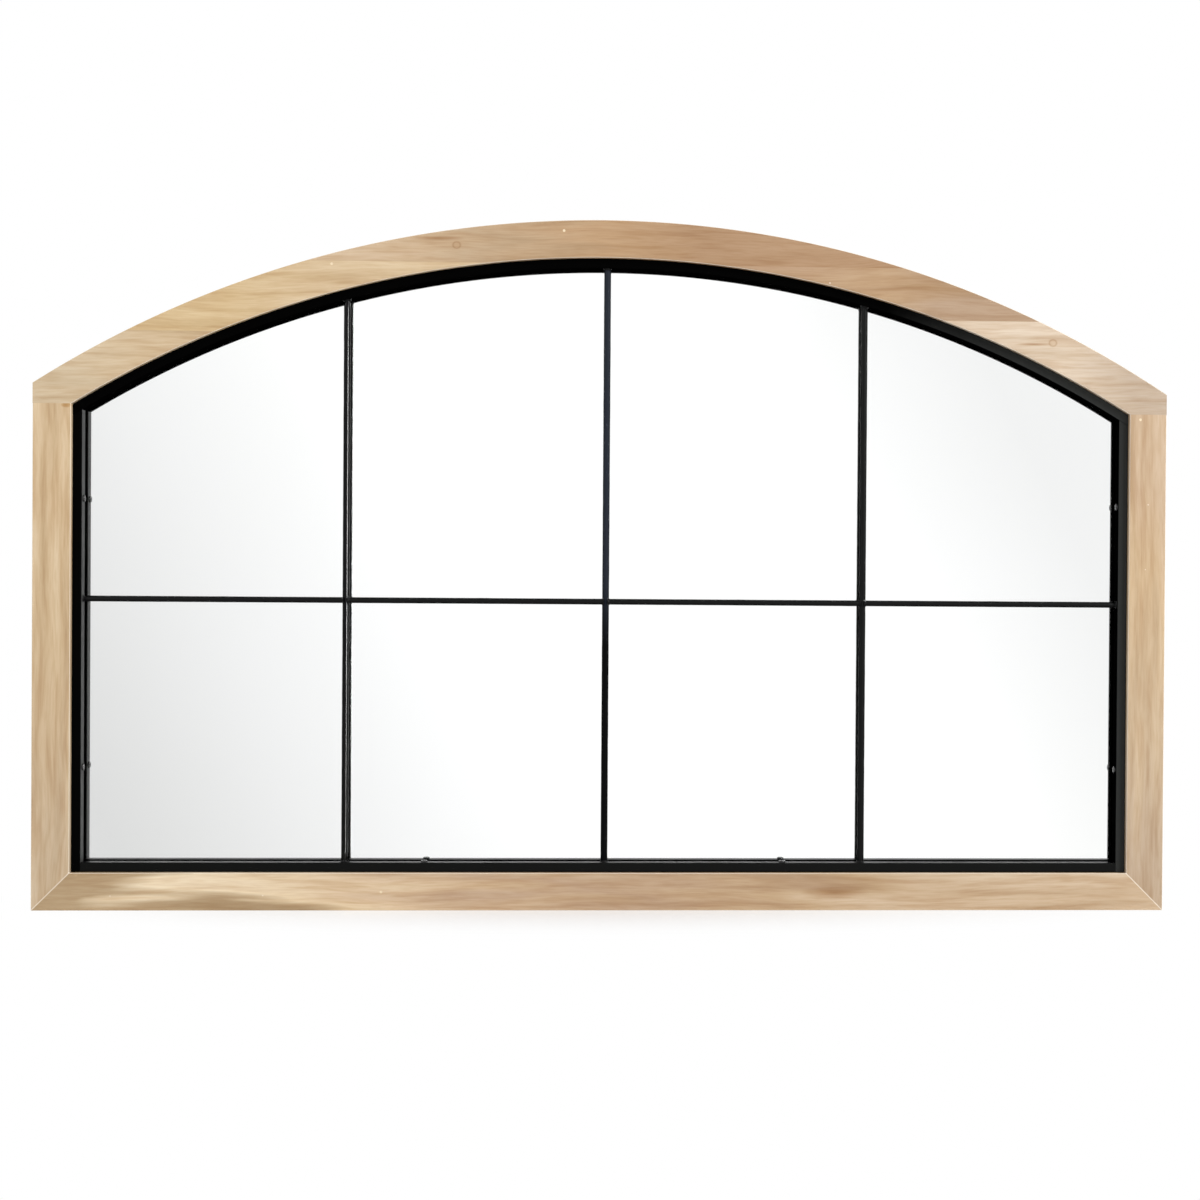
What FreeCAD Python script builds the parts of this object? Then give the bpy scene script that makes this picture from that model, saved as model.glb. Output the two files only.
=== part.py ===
import FreeCAD, Part
import math
import os
import re
import Sketcher

# Arched window mirror, hung on a wall.
# X runs to the right as seen from the front, Z up, and the face looks along -Y.
# The origin lies on the wall, midway between the two wall hooks, at the height
# of the hooks.  All lengths are millimetres and all angles degrees.

# ---------------------------------------------------------------- driving sizes

SIZES = {
    # outline of the wooden frame
    "overall_width": 1000.0,
    "overall_height": 610.0,
    "side_height": 461.5,         # bottom edge to the outer top corners
    "hang_height": 435.0,         # bottom edge to the wall hooks
    # section of the wooden frame
    "face_width": 33.0,
    "lip_depth": 18.0,            # wood in front of the glass
    "rebate_width": 8.0,
    # stile to arch dowels
    "dowel_diameter": 6.0,
    "dowel_length": 30.0,
    "dowel_edge": 9.0,            # dowel axis to the nearer long edge of the stile
    # corrugated V nails across the bottom mitres
    "vnail_leg": 6.0,
    "vnail_thickness": 0.5,
    "vnail_depth": 10.0,
    "vnail_first": 6.0,           # corner to the first V nail, along the rail
    "vnail_spacing": 10.0,
    # brads set below the face and stopped with filler
    "brad_diameter": 1.2,
    "brad_length": 13.0,
    "filler_diameter": 2.4,
    "filler_depth": 1.5,
    "shoulder_brad_offset": -241.7,   # offsets run from the middle, right is positive
    "crown_brad_offset": -38.5,
    "arch_brad_edge": 9.0,        # brad to the outer edge of the arch
    "stile_brad_edge": 9.5,       # brad to the inner edge of the stile
    "stile_brad_drop": 4.5,       # brad below the stile's joint
    "rail_brad_offset": -195.7,
    # steel grille
    "bar_setback": 5.0,           # bar face behind the wood's face
    "bar_face": 8.0,
    "bar_depth": 10.0,
    "grille_play": 0.5,           # grille to wood
    "muntin_diameter": 6.0,
    "muntin_setback": 6.0,        # bar face to the rods' axes
    "crossbar_diameter": 5.0,
    "crossbar_height": 273.0,
    "weld_leg": 1.5,
    "weld_toe": 0.3,
    # mirror and backing
    "glass_thickness": 3.0,
    "glass_play": 1.0,
    "backing_thickness": 3.0,
    "backing_play": 0.6,
    # grille screws
    "grille_shank": 3.0,
    "grille_screw_length": 22.0,
    "grille_head": 6.0,
    "grille_head_height": 1.6,
    "low_screw_height": 125.0,
    "high_screw_height": 361.0,
    "rail_screw_offset": 159.0,
    # turn buttons and their screws
    "button_width": 9.0,
    "button_reach": 15.0,         # pivot to the centre of the round tip
    "button_thickness": 1.5,
    "button_play": 0.1,
    "pivot_play": 0.05,
    "button_shank": 3.5,
    "button_screw_length": 14.0,
    "button_head": 7.0,
    "button_head_height": 1.9,
    "button_edge": 12.5,          # pivot to the outer edge of the wood
    "rail_button_offset": 320.0,
    "low_button_height": 130.0,
    "high_button_height": 320.0,
    "arch_button_offset": 309.0,
    # hanging straps and rings
    "strap_width": 12.0,
    "strap_thickness": 1.0,
    "strap_length": 27.0,         # ring axis to the centre of the round end
    "strap_edge": 12.5,           # strap's middle to the outer edge of the stile
    "strap_shank": 3.0,
    "strap_screw_length": 13.0,
    "strap_head": 6.0,
    "strap_head_height": 1.6,
    "strap_first_screw": 16.5,
    "strap_screw_spacing": 10.0,
    "ring_wire": 2.4,
    "ring_half_bar": 7.0,
    "ring_corner": 2.0,
    "ring_play": 0.1,
    # rubber wall bumpers
    "bumper_diameter": 10.0,
    "bumper_tip": 8.6,
    "bumper_height": 5.0,
    "bumper_corner": 45.0,        # bottom bumpers in from the corners
    "bumper_edge": 12.5,
    "arch_bumper_offset": 396.0,
}

# Panes side by side in the window.
PANES = 4

# Heights of the glue lines between the arch boards, as shares of the arch's rise.
LEFT_SEAM_SHARE = 0.313
RIGHT_SEAM_SHARE = 0.428
CROWN_SEAM_SHARE = 0.737

# Sizes that follow from the driving ones.
DERIVED = {
    "half_width": "overall_width / 2",
    "rise": "overall_height - side_height",
    "outer_radius": "(half_width * half_width + rise * rise) / (2 * rise)",
    "inner_radius": "outer_radius - face_width",
    "inner_half": "half_width - face_width",
    "floor_z": "0 - hang_height",
    "centre_z": "overall_height - outer_radius - hang_height",
    "joint_z": "centre_z + sqrt(inner_radius * inner_radius - inner_half * inner_half)",
    "shoulder_z": "floor_z + side_height",
    "left_seam_z": "shoulder_z + rise * %g" % LEFT_SEAM_SHARE,
    "right_seam_z": "shoulder_z + rise * %g" % RIGHT_SEAM_SHARE,
    "crown_seam_z": "shoulder_z + rise * %g" % CROWN_SEAM_SHARE,
    "crown_board_height": "shoulder_z + rise - crown_seam_z",
    "rebate_depth": "glass_thickness + backing_thickness",
    "frame_depth": "lip_depth + rebate_depth",
    "back_y": "0 - bumper_height",
    "front_y": "back_y - frame_depth",
    "glass_y": "front_y + lip_depth",
    "bar_y": "front_y + bar_setback",
    "bar_back_y": "bar_y + bar_depth",
    "rod_y": "bar_y + muntin_setback",
    "bar_half": "inner_half - grille_play",
    "bar_floor_z": "floor_z + face_width + grille_play",
    "bar_radius": "inner_radius - grille_play",
    "pane_half": "bar_half - bar_face",
    "pane_floor_z": "bar_floor_z + bar_face",
    "pane_radius": "bar_radius - bar_face",
    "pane_pitch": "2 * pane_half / %d" % PANES,
    "muntin_r": "muntin_diameter / 2",
    "cross_r": "crossbar_diameter / 2",
    "cross_z": "floor_z + crossbar_height",
    "eye_r": "ring_wire / 2 + ring_play",
    "eye_outer_r": "eye_r + strap_thickness",
    "ring_y": "back_y + eye_outer_r",
    "ring_half": "ring_half_bar + ring_corner",
    "ring_drop": "ring_corner + ring_half - ring_wire / 2",
    "ring_z": "0 - ring_drop",
    "strap_x": "half_width - strap_edge",
    "plate_y": "back_y + button_play",
    "button_head_y": "plate_y + button_thickness + button_play",
    "arch_button_lean": "asin(arch_button_offset / (outer_radius - button_edge)) / (1 deg)",
    "arch_bumper_lean": "asin(arch_bumper_offset / (outer_radius - bumper_edge)) / (1 deg)",
    "brad_arc": "outer_radius - arch_brad_edge",
}

# Cuts run this far past a face, so that no skin is left.
OVERCUT = 2.0

# A pan head's flat top and cross recess, as shares of the head's diameter and height.
HEAD_TOP_SHARE = 0.36
RECESS_LENGTH_SHARE = 0.5
RECESS_WIDTH_SHARE = 0.12
RECESS_FLOOR_SHARE = 0.5

# How far a weld bead reaches behind the side of the rod it lies on, as a share of its radius.
WELD_ROOT_SHARE = 0.3

# The strap is rolled this far round the ring, in degrees.
EYE_SWEEP = 300

UP = FreeCAD.Vector(0, 0, 1)
ALONG_X = FreeCAD.Rotation(FreeCAD.Vector(0, 1, 0), 90)
ALONG_Y = FreeCAD.Rotation(FreeCAD.Vector(1, 0, 0), -90)
ALONG_Z = FreeCAD.Rotation(UP, 0)

doc = FreeCAD.newDocument("ArchedWindowMirror")
sheet = doc.addObject("Spreadsheet::Sheet", "Sizes")
for row, (alias, value) in enumerate(SIZES.items(), start=1):
    sheet.set("A%d" % row, alias)
    sheet.set("B%d" % row, str(value))
    sheet.setAlias("B%d" % row, alias)
doc.recompute()

subparts = []


# ---------------------------------------------------------------- small helpers

def formula(text):
    """Write a size formula with each name replaced by its cell or its own formula."""
    def swap(match):
        word = match.group(0)
        if word in SIZES:
            return "Sizes." + word
        if word in DERIVED:
            return "(" + formula(DERIVED[word]) + ")"
        return word
    return re.sub(r"[a-z_]+", swap, str(text))


def bind(item, **properties):
    """Bind properties of a document object to size formulas."""
    for name, text in properties.items():
        item.setExpression(name, formula(text))


def place(item, x="0", y="0", z="0"):
    """Bind an object's place to size formulas."""
    item.setExpression("Placement.Base.x", formula(x))
    item.setExpression("Placement.Base.y", formula(y))
    item.setExpression("Placement.Base.z", formula(z))
    return item


def turn(item, axis, angle):
    """Turn an object about an axis by an angle that a formula gives."""
    item.Placement = FreeCAD.Placement(item.Placement.Base, FreeCAD.Rotation(axis, 1))
    item.setExpression("Placement.Rotation.Angle", formula(angle))
    return item


def box(name, x, y, z, length, width, height):
    item = doc.addObject("Part::Box", name)
    bind(item, Length=length, Width=width, Height=height)
    return place(item, x, y, z)


def rod(name, direction, x, y, z, radius, length):
    item = doc.addObject("Part::Cylinder", name)
    item.Placement = FreeCAD.Placement(FreeCAD.Vector(), direction)
    bind(item, Radius=radius, Height=length)
    return place(item, x, y, z)


def cone(name, direction, x, y, z, first, last, length):
    item = doc.addObject("Part::Cone", name)
    item.Placement = FreeCAD.Placement(FreeCAD.Vector(), direction)
    bind(item, Radius1=first, Radius2=last, Height=length)
    return place(item, x, y, z)


def cut(name, base, tool):
    item = doc.addObject("Part::Cut", name)
    item.Base = base
    item.Tool = tool
    return item


def common(name, base, tool):
    item = doc.addObject("Part::Common", name)
    item.Base = base
    item.Tool = tool
    return item


def fuse(name, shapes):
    item = doc.addObject("Part::MultiFuse", name)
    item.Shapes = shapes
    item.Refine = True
    return item


def group(name, members):
    item = doc.addObject("Part::Compound", name)
    item.Links = members
    return item


def subpart(item, label):
    """Keep an object as a piece of the mirror, under the name of its file."""
    item.Label = label
    subparts.append(item)
    return item


def disc(name, radius, y, thickness):
    """A round slab about the arch's centre, facing along Y."""
    return rod(name, ALONG_Y, "0", y, "centre_z", radius, thickness)


def arched_slab(name, half, floor, radius, y, thickness):
    """A flat slab with upright sides, a level foot and the arch's round top."""
    slab_height = "centre_z + %s - (%s) + %g" % (radius, floor, OVERCUT)
    block = box(name + "_block", "0 - (%s)" % half, y, floor,
                "2 * (%s)" % half, thickness, slab_height)
    return common(name, block, disc(name + "_disc", radius, y, thickness))


def copy_of(master, name, x, y, z):
    item = doc.addObject("App::Link", name)
    item.LinkedObject = master
    return place(item, x, y, z)


def origin_plane(body, role):
    return [f for f in body.Origin.OriginFeatures if f.Role == role][0]


def upright_sketch(body, name):
    """A sketch on the body's XZ plane: across is X and up is Z."""
    sketch = body.newObject("Sketcher::SketchObject", name)
    sketch.AttachmentSupport = [(origin_plane(body, "XZ_Plane"), "")]
    sketch.MapMode = "FlatFace"
    return sketch


def dimension(sketch, kind, refs, rough, text):
    """Add a dimension to a sketch, near its rough value, and bind it to a size formula."""
    index = sketch.addConstraint(Sketcher.Constraint(kind, *refs, float(rough)))
    sketch.setExpression("Constraints[%d]" % index, formula(text))


def polygon_block(name, corners, first_guess, y, thickness):
    """A straight-sided board padded from its outline, seen from the front.

    corners holds a pair of formulas for each corner, and first_guess the same
    corners as rough numbers, from which the sketch is solved.
    """
    body = doc.addObject("PartDesign::Body", name)
    sketch = upright_sketch(body, name + "_outline")
    count = len(corners)
    points = [FreeCAD.Vector(px, pz, 0) for px, pz in first_guess]
    for i in range(count):
        sketch.addGeometry(Part.LineSegment(points[i], points[(i + 1) % count]), False)
    for i in range(count):
        following = (i + 1) % count
        sketch.addConstraint(Sketcher.Constraint("Coincident", i, 2, following, 1))
    for i, (px, pz) in enumerate(corners):
        dimension(sketch, "DistanceX", (-1, 1, i, 1), first_guess[i][0], px)
        dimension(sketch, "DistanceY", (-1, 1, i, 1), first_guess[i][1], pz)
    pad = body.newObject("PartDesign::Pad", name + "_pad")
    pad.Profile = sketch
    pad.Reversed = True
    bind(pad, Length=thickness)
    place(body, "0", y, "0")
    return body


def screw(name, shank, length, head, head_height):
    """A pan head wood screw.  The head's seat lies at the origin, the head above."""
    stem = rod(name + "_shank", ALONG_Z, "0", "0", "0 - %s" % length, shank + " / 2", length)
    cap = cone(name + "_cap", ALONG_Z, "0", "0", "0", head + " / 2",
               "%s * %g" % (head, HEAD_TOP_SHARE), head_height)
    body = fuse(name + "_body", [stem, cap])
    slot_length = "%s * %g" % (head, RECESS_LENGTH_SHARE)
    slot_width = "%s * %g" % (head, RECESS_WIDTH_SHARE)
    slot_floor = "%s * %g" % (head_height, RECESS_FLOOR_SHARE)
    slots = []
    for tag, across, along in (("a", slot_length, slot_width), ("b", slot_width, slot_length)):
        slots.append(box(name + "_slot_" + tag, "0 - %s / 2" % across, "0 - %s / 2" % along,
                         slot_floor, across, along, head_height))
    return cut(name, body, fuse(name + "_recess", slots))


# ---------------------------------------------------------------- fasteners

def grille_screws():
    """Screws through the grille's bars into the wood, heads inside the opening."""
    master = screw("grille_screw", "grille_shank", "grille_screw_length", "grille_head",
                   "grille_head_height")
    middle_y = "bar_y + bar_depth / 2"
    spots = []
    for tag, height in (("low", "low_screw_height"), ("high", "high_screw_height")):
        level = "floor_z + " + height
        spots.append(("left_" + tag, "0 - pane_half", level, "90"))
        spots.append(("right_" + tag, "pane_half", level, "270"))
    for tag, sign in (("left", "0 - "), ("right", "")):
        spots.append(("rail_" + tag, sign + "rail_screw_offset", "pane_floor_z", "0"))
    copies = []
    for tag, x, z, angle in spots:
        item = copy_of(master, "grille_screw_" + tag, x, middle_y, z)
        copies.append(turn(item, FreeCAD.Vector(0, 1, 0), angle))
    return group("grille_screw_set", copies)


def button_places():
    """Name, place and pointing angle of each turn button round the backing board."""
    places = []
    for tag, sign in (("left", "0 - "), ("middle", "0 * "), ("right", "")):
        places.append(("turn_button_rail_" + tag, sign + "rail_button_offset",
                       "floor_z + button_edge", "0"))
    for side, sign, angle in (("left", "0 - ", "90"), ("right", "", "270")):
        for tag, height in (("low", "low_button_height"), ("high", "high_button_height")):
            places.append(("turn_button_%s_%s" % (side, tag),
                           sign + "(half_width - button_edge)", "floor_z + " + height, angle))
    for tag, sign in (("left", "0 - "), ("middle", "0 * "), ("right", "")):
        lean = "(%sarch_button_lean)" % sign
        radius = "(outer_radius - button_edge)"
        places.append(("turn_button_arch_" + tag, radius + " * sin(%s)" % lean,
                       "centre_z + %s * cos(%s)" % (radius, lean), "180 + " + lean))
    return places


def button_screws(places):
    master = screw("button_screw", "button_shank", "button_screw_length", "button_head",
                   "button_head_height")
    copies = []
    for tag, x, z, angle in places:
        item = copy_of(master, "screw_of_" + tag, x, "button_head_y", z)
        copies.append(turn(item, FreeCAD.Vector(1, 0, 0), "-90"))
    return group("button_screw_set", copies)


def strap_screws():
    master = screw("strap_screw", "strap_shank", "strap_screw_length", "strap_head",
                   "strap_head_height")
    copies = []
    for side, sign in (("left", "0 - "), ("right", "")):
        for tag, extra in (("upper", ""), ("lower", " - strap_screw_spacing")):
            item = copy_of(master, "strap_screw_%s_%s" % (side, tag), sign + "strap_x",
                           "back_y + strap_thickness", "ring_z - strap_first_screw" + extra)
            copies.append(turn(item, FreeCAD.Vector(1, 0, 0), "-90"))
    return group("strap_screw_set", copies)


def dowels():
    """Two dowels across each joint of a stile with the arch."""
    pins = []
    for side, sign in (("left", "0 - "), ("right", "")):
        for tag, inset in (("outer", "dowel_edge"), ("inner", "(face_width - dowel_edge)")):
            x = "%s(half_width - %s)" % (sign, inset)
            pins.append(rod("dowel_%s_%s" % (side, tag), ALONG_Z, x, "front_y + lip_depth / 2",
                            "joint_z - dowel_length / 2", "dowel_diameter / 2", "dowel_length"))
    return group("dowel_set", pins)


def v_nails():
    """Two V nails across each bottom mitre, pressed in from the back."""
    nails = []
    y = "back_y - vnail_depth"
    for tag, reach in (("outer", "vnail_first"), ("inner", "vnail_first + vnail_spacing")):
        z = "floor_z + %s" % reach
        x = "0 - half_width + %s" % reach
        mirrored_tip = "half_width - (%s)" % reach
        for side, tip, leg_x in (("left", x, x),
                                 ("right", mirrored_tip + " - vnail_thickness",
                                  mirrored_tip + " - vnail_leg")):
            name = "v_nail_%s_%s" % (side, tag)
            upright = box(name + "_upright", tip, y, z, "vnail_thickness", "vnail_depth",
                          "vnail_leg")
            level = box(name + "_level", leg_x, y, z, "vnail_leg", "vnail_depth",
                        "vnail_thickness")
            nails.append(fuse(name, [upright, level]))
    return group("v_nail_set", nails)


def brad_places():
    spots = []
    for tag in ("shoulder", "crown"):
        offset = tag + "_brad_offset"
        spots.append((tag, offset,
                      "centre_z + sqrt(brad_arc * brad_arc - %s * %s)" % (offset, offset)))
    spots.append(("stile", "inner_half + stile_brad_edge", "joint_z - stile_brad_drop"))
    spots.append(("rail", "rail_brad_offset", "floor_z + face_width / 2"))
    return spots


def brads_and_fillers():
    """Brads driven in from the front, and the filler that stops their holes."""
    brads = []
    fillers = []
    for tag, x, z in brad_places():
        fillers.append(rod("filler_" + tag, ALONG_Y, x, "front_y", z, "filler_diameter / 2",
                           "filler_depth"))
        brads.append(rod("brad_" + tag, ALONG_Y, x, "front_y + filler_depth", z,
                         "brad_diameter / 2", "brad_length"))
    return group("brad_set", brads), group("filler_set", fillers)


# ---------------------------------------------------------------- wooden frame

def wooden_frame(fastener_sets):
    """Mitred rail and stiles, and an arch band-sawn from edge-glued boards."""
    opening = arched_slab("opening", "inner_half", "floor_z + face_width", "inner_radius",
                          "front_y - %g" % OVERCUT, "frame_depth + %g" % (2 * OVERCUT))
    rebate = arched_slab("rebate", "inner_half + rebate_width",
                         "floor_z + face_width - rebate_width", "(inner_radius + rebate_width)",
                         "glass_y", "rebate_depth + %g" % OVERCUT)
    hollow = fuse("frame_hollow", [opening, rebate])
    holes = group("frame_holes", fastener_sets)

    inner_floor = "floor_z + face_width"
    rail_corners = [("0 - half_width", "floor_z"), ("half_width", "floor_z"),
                    ("inner_half", inner_floor), ("0 - inner_half", inner_floor)]
    half, face, low = SIZES["overall_width"] / 2, SIZES["face_width"], -SIZES["hang_height"]
    rough_rail = [(-half, low), (half, low), (half - face, low + face), (face - half, low + face)]
    rail = polygon_block("rail_blank", rail_corners, rough_rail, "front_y", "frame_depth")
    blanks = [("bottom_rail", rail)]
    for side, sign, way in (("left", "0 - ", -1), ("right", "", 1)):
        corners = [(sign + "half_width", "floor_z"), (sign + "inner_half", inner_floor),
                   (sign + "inner_half", "joint_z"), (sign + "half_width", "joint_z")]
        top = low + SIZES["side_height"] - face / 2
        rough = [(way * half, low), (way * (half - face), low + face), (way * (half - face), top),
                 (way * half, top)]
        stile = polygon_block(side + "_stile_blank", corners, rough, "front_y", "frame_depth")
        blanks.append((side + "_stile", stile))

    arch = arched_slab("arch_blank", "half_width", "joint_z", "outer_radius", "front_y",
                       "frame_depth")
    crown_span = box("crown_span", "0 - half_width", "front_y", "crown_seam_z",
                     "2 * half_width", "frame_depth", "crown_board_height + %g" % OVERCUT)
    blanks.append(("crown_board", common("crown_blank", arch, crown_span)))
    for side, start in (("left", "0 - half_width"), ("right", "0")):
        seam = side + "_seam_z"
        shoulder = box(side + "_shoulder_span", start, "front_y", seam, "half_width",
                       "frame_depth", "crown_seam_z - " + seam)
        foot = box(side + "_foot_span", start, "front_y", "joint_z", "half_width",
                   "frame_depth", seam + " - joint_z")
        blanks.append((side + "_shoulder_board", common(side + "_shoulder_blank", arch, shoulder)))
        blanks.append((side + "_foot_board", common(side + "_foot_blank", arch, foot)))

    for label, blank in blanks:
        hollowed = cut(label + "_hollowed", blank, hollow)
        subpart(cut(label + "_piece", hollowed, holes), label)


# ---------------------------------------------------------------- steel grille

def bar_frame(prefix, y, thickness, labels, tool=None):
    """Four bars in the shape of the opening: sides, a foot between them and an arch."""
    inner = arched_slab(prefix + "_inner", "bar_half", "bar_floor_z", "pane_radius", y,
                        thickness)
    outer = arched_slab(prefix + "_outer", "bar_half", "bar_floor_z", "bar_radius", y,
                        thickness)
    pieces = [cut(prefix + "_arch_blank", outer, inner)]
    tall = "overall_height"
    for tag, x in (("left", "0 - bar_half"), ("right", "pane_half")):
        strip = box("%s_%s_strip" % (prefix, tag), x, y, "bar_floor_z", "bar_face", thickness,
                    tall)
        pieces.append(common("%s_%s_blank" % (prefix, tag), strip, inner))
    pieces.append(box(prefix + "_foot_blank", "0 - pane_half", y, "bar_floor_z",
                      "2 * pane_half", thickness, "bar_face"))
    for piece, label in zip(pieces, labels):
        if tool is not None:
            piece = cut(label + "_piece", piece, tool)
        subpart(piece, label)


def grille(screws):
    bar_frame("bar", "bar_y", "bar_depth",
              ["grille_arch_bar", "grille_left_bar", "grille_right_bar", "grille_bottom_bar"],
              screws)
    under_arch = arched_slab("under_arch", "pane_half", "pane_floor_z", "pane_radius", "bar_y",
                             "bar_depth")
    uprights = []
    for number in range(1, PANES):
        label = "muntin_%d" % number
        x = "0 - pane_half + %d * pane_pitch" % number
        long_rod = rod(label + "_rod", ALONG_Z, x, "rod_y", "pane_floor_z", "muntin_r",
                       "overall_height")
        uprights.append((x, long_rod))
        subpart(common(label + "_piece", long_rod, under_arch), label)

    posts = group("muntin_rods", [long_rod for x, long_rod in uprights])
    level_rod = rod("crossbar_rod", ALONG_X, "0 - pane_half", "rod_y", "cross_z", "cross_r",
                    "2 * pane_half")
    for number in range(PANES):
        start = "0 - pane_half + %d * pane_pitch" % number
        segment = rod("crossbar_rod_%d" % (number + 1), ALONG_X, start, "rod_y", "cross_z",
                      "cross_r", "pane_pitch")
        subpart(cut("crossbar_piece_%d" % (number + 1), segment, posts),
                "crossbar_segment_%d" % (number + 1))

    beads = weld_beads([x for x, long_rod in uprights], posts, level_rod, under_arch)
    subpart(group("weld_bead_set", beads), "weld_beads")


def weld_beads(columns, posts, level_rod, under_arch):
    """Fillet welds: a collar at each end of each rod, shaped by what it meets."""
    beads = []

    def collar(name, direction, x, z, radius, backing_up, tools):
        """A tapering ring on a rod, which starts backing_up behind the joint."""
        body = cone(name + "_cone", direction, x, "rod_y", z,
                    "%s + weld_leg + (%s)" % (radius, backing_up),
                    "%s + weld_toe" % radius, "weld_leg + (%s)" % backing_up)
        for number, tool in enumerate(tools):
            body = cut("%s_trim_%d" % (name, number), body, tool)
        return body

    back_x = FreeCAD.Rotation(FreeCAD.Vector(0, 1, 0), -90)
    downward = FreeCAD.Rotation(FreeCAD.Vector(1, 0, 0), 180)
    beads.append(collar("weld_left_end", ALONG_X, "0 - pane_half", "cross_z", "cross_r", "0",
                        [level_rod]))
    beads.append(collar("weld_right_end", back_x, "pane_half", "cross_z", "cross_r", "0",
                        [level_rod]))
    for number, x in enumerate(columns):
        inset = "muntin_r * %g" % WELD_ROOT_SHARE
        beads.append(collar("weld_cross_right_%d" % number, ALONG_X,
                            "%s + muntin_r - %s" % (x, inset), "cross_z", "cross_r", inset,
                            [posts, level_rod]))
        beads.append(collar("weld_cross_left_%d" % number, back_x,
                            "%s - muntin_r + %s" % (x, inset), "cross_z", "cross_r", inset,
                            [posts, level_rod]))
        beads.append(collar("weld_foot_%d" % number, ALONG_Z, x, "pane_floor_z", "muntin_r", "0",
                            [posts]))
        arch_z = "centre_z + sqrt(pane_radius * pane_radius - (%s) * (%s))" % (x, x)
        lift = "weld_leg"
        head = collar("weld_head_%d" % number, downward, x, "%s + %s" % (arch_z, lift),
                      "muntin_r", lift, [posts])
        beads.append(common("weld_head_fitted_%d" % number, head, under_arch))
    return beads


# ---------------------------------------------------------------- mirror and back

def mirror_pack():
    """Foam tape behind the bars, the mirror glass and the board that backs it."""
    bar_frame("tape", "bar_back_y", "glass_y - bar_back_y",
              ["foam_tape_arch", "foam_tape_left", "foam_tape_right", "foam_tape_bottom"])
    for label, play, y, thickness in (
            ("mirror_glass", "glass_play", "glass_y", "glass_thickness"),
            ("backing_board", "backing_play", "glass_y + glass_thickness",
             "backing_thickness")):
        sheet_half = "inner_half + rebate_width - " + play
        sheet_floor = "floor_z + face_width - rebate_width + " + play
        sheet_radius = "(inner_radius + rebate_width - %s)" % play
        slab = arched_slab(label + "_slab", sheet_half, sheet_floor, sheet_radius, y, thickness)
        subpart(slab, label)


def turn_button(label, x, z, angle):
    """A flat swivelling clip with round ends, pointing up before it is turned."""
    body = doc.addObject("PartDesign::Body", label + "_body")
    sketch = upright_sketch(body, label + "_outline")
    half, reach = SIZES["button_width"] / 2, SIZES["button_reach"]
    hole = SIZES["button_shank"] / 2 + SIZES["pivot_play"]
    forward = FreeCAD.Vector(0, 0, 1)
    near_circle = Part.Circle(FreeCAD.Vector(0, 0, 0), forward, half)
    far_circle = Part.Circle(FreeCAD.Vector(0, reach, 0), forward, half)
    near = sketch.addGeometry(Part.ArcOfCircle(near_circle, math.pi, 2 * math.pi), False)
    far = sketch.addGeometry(Part.ArcOfCircle(far_circle, 0, math.pi), False)
    right = sketch.addGeometry(Part.LineSegment(FreeCAD.Vector(half, 0, 0),
                                                FreeCAD.Vector(half, reach, 0)), False)
    left = sketch.addGeometry(Part.LineSegment(FreeCAD.Vector(-half, reach, 0),
                                               FreeCAD.Vector(-half, 0, 0)), False)
    bore = sketch.addGeometry(Part.Circle(FreeCAD.Vector(0, 0, 0), forward, hole), False)
    rules = [("Coincident", near, 3, -1, 1), ("PointOnObject", far, 3, -2),
             ("Tangent", near, 2, right, 1), ("Tangent", right, 2, far, 1),
             ("Tangent", far, 2, left, 1), ("Tangent", left, 2, near, 1),
             ("Coincident", bore, 3, -1, 1)]
    for rule in rules:
        sketch.addConstraint(Sketcher.Constraint(*rule))
    dimension(sketch, "Radius", (near,), half, "button_width / 2")
    dimension(sketch, "DistanceY", (near, 3, far, 3), reach, "button_reach")
    dimension(sketch, "Radius", (bore,), hole, "button_shank / 2 + pivot_play")
    pad = body.newObject("PartDesign::Pad", label + "_pad")
    pad.Profile = sketch
    pad.Reversed = True
    bind(pad, Length="button_thickness")
    turn(body, FreeCAD.Vector(0, 1, 0), angle)
    place(body, x, "plate_y", z)
    subpart(body, label)


# ---------------------------------------------------------------- hanging hardware

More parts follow.
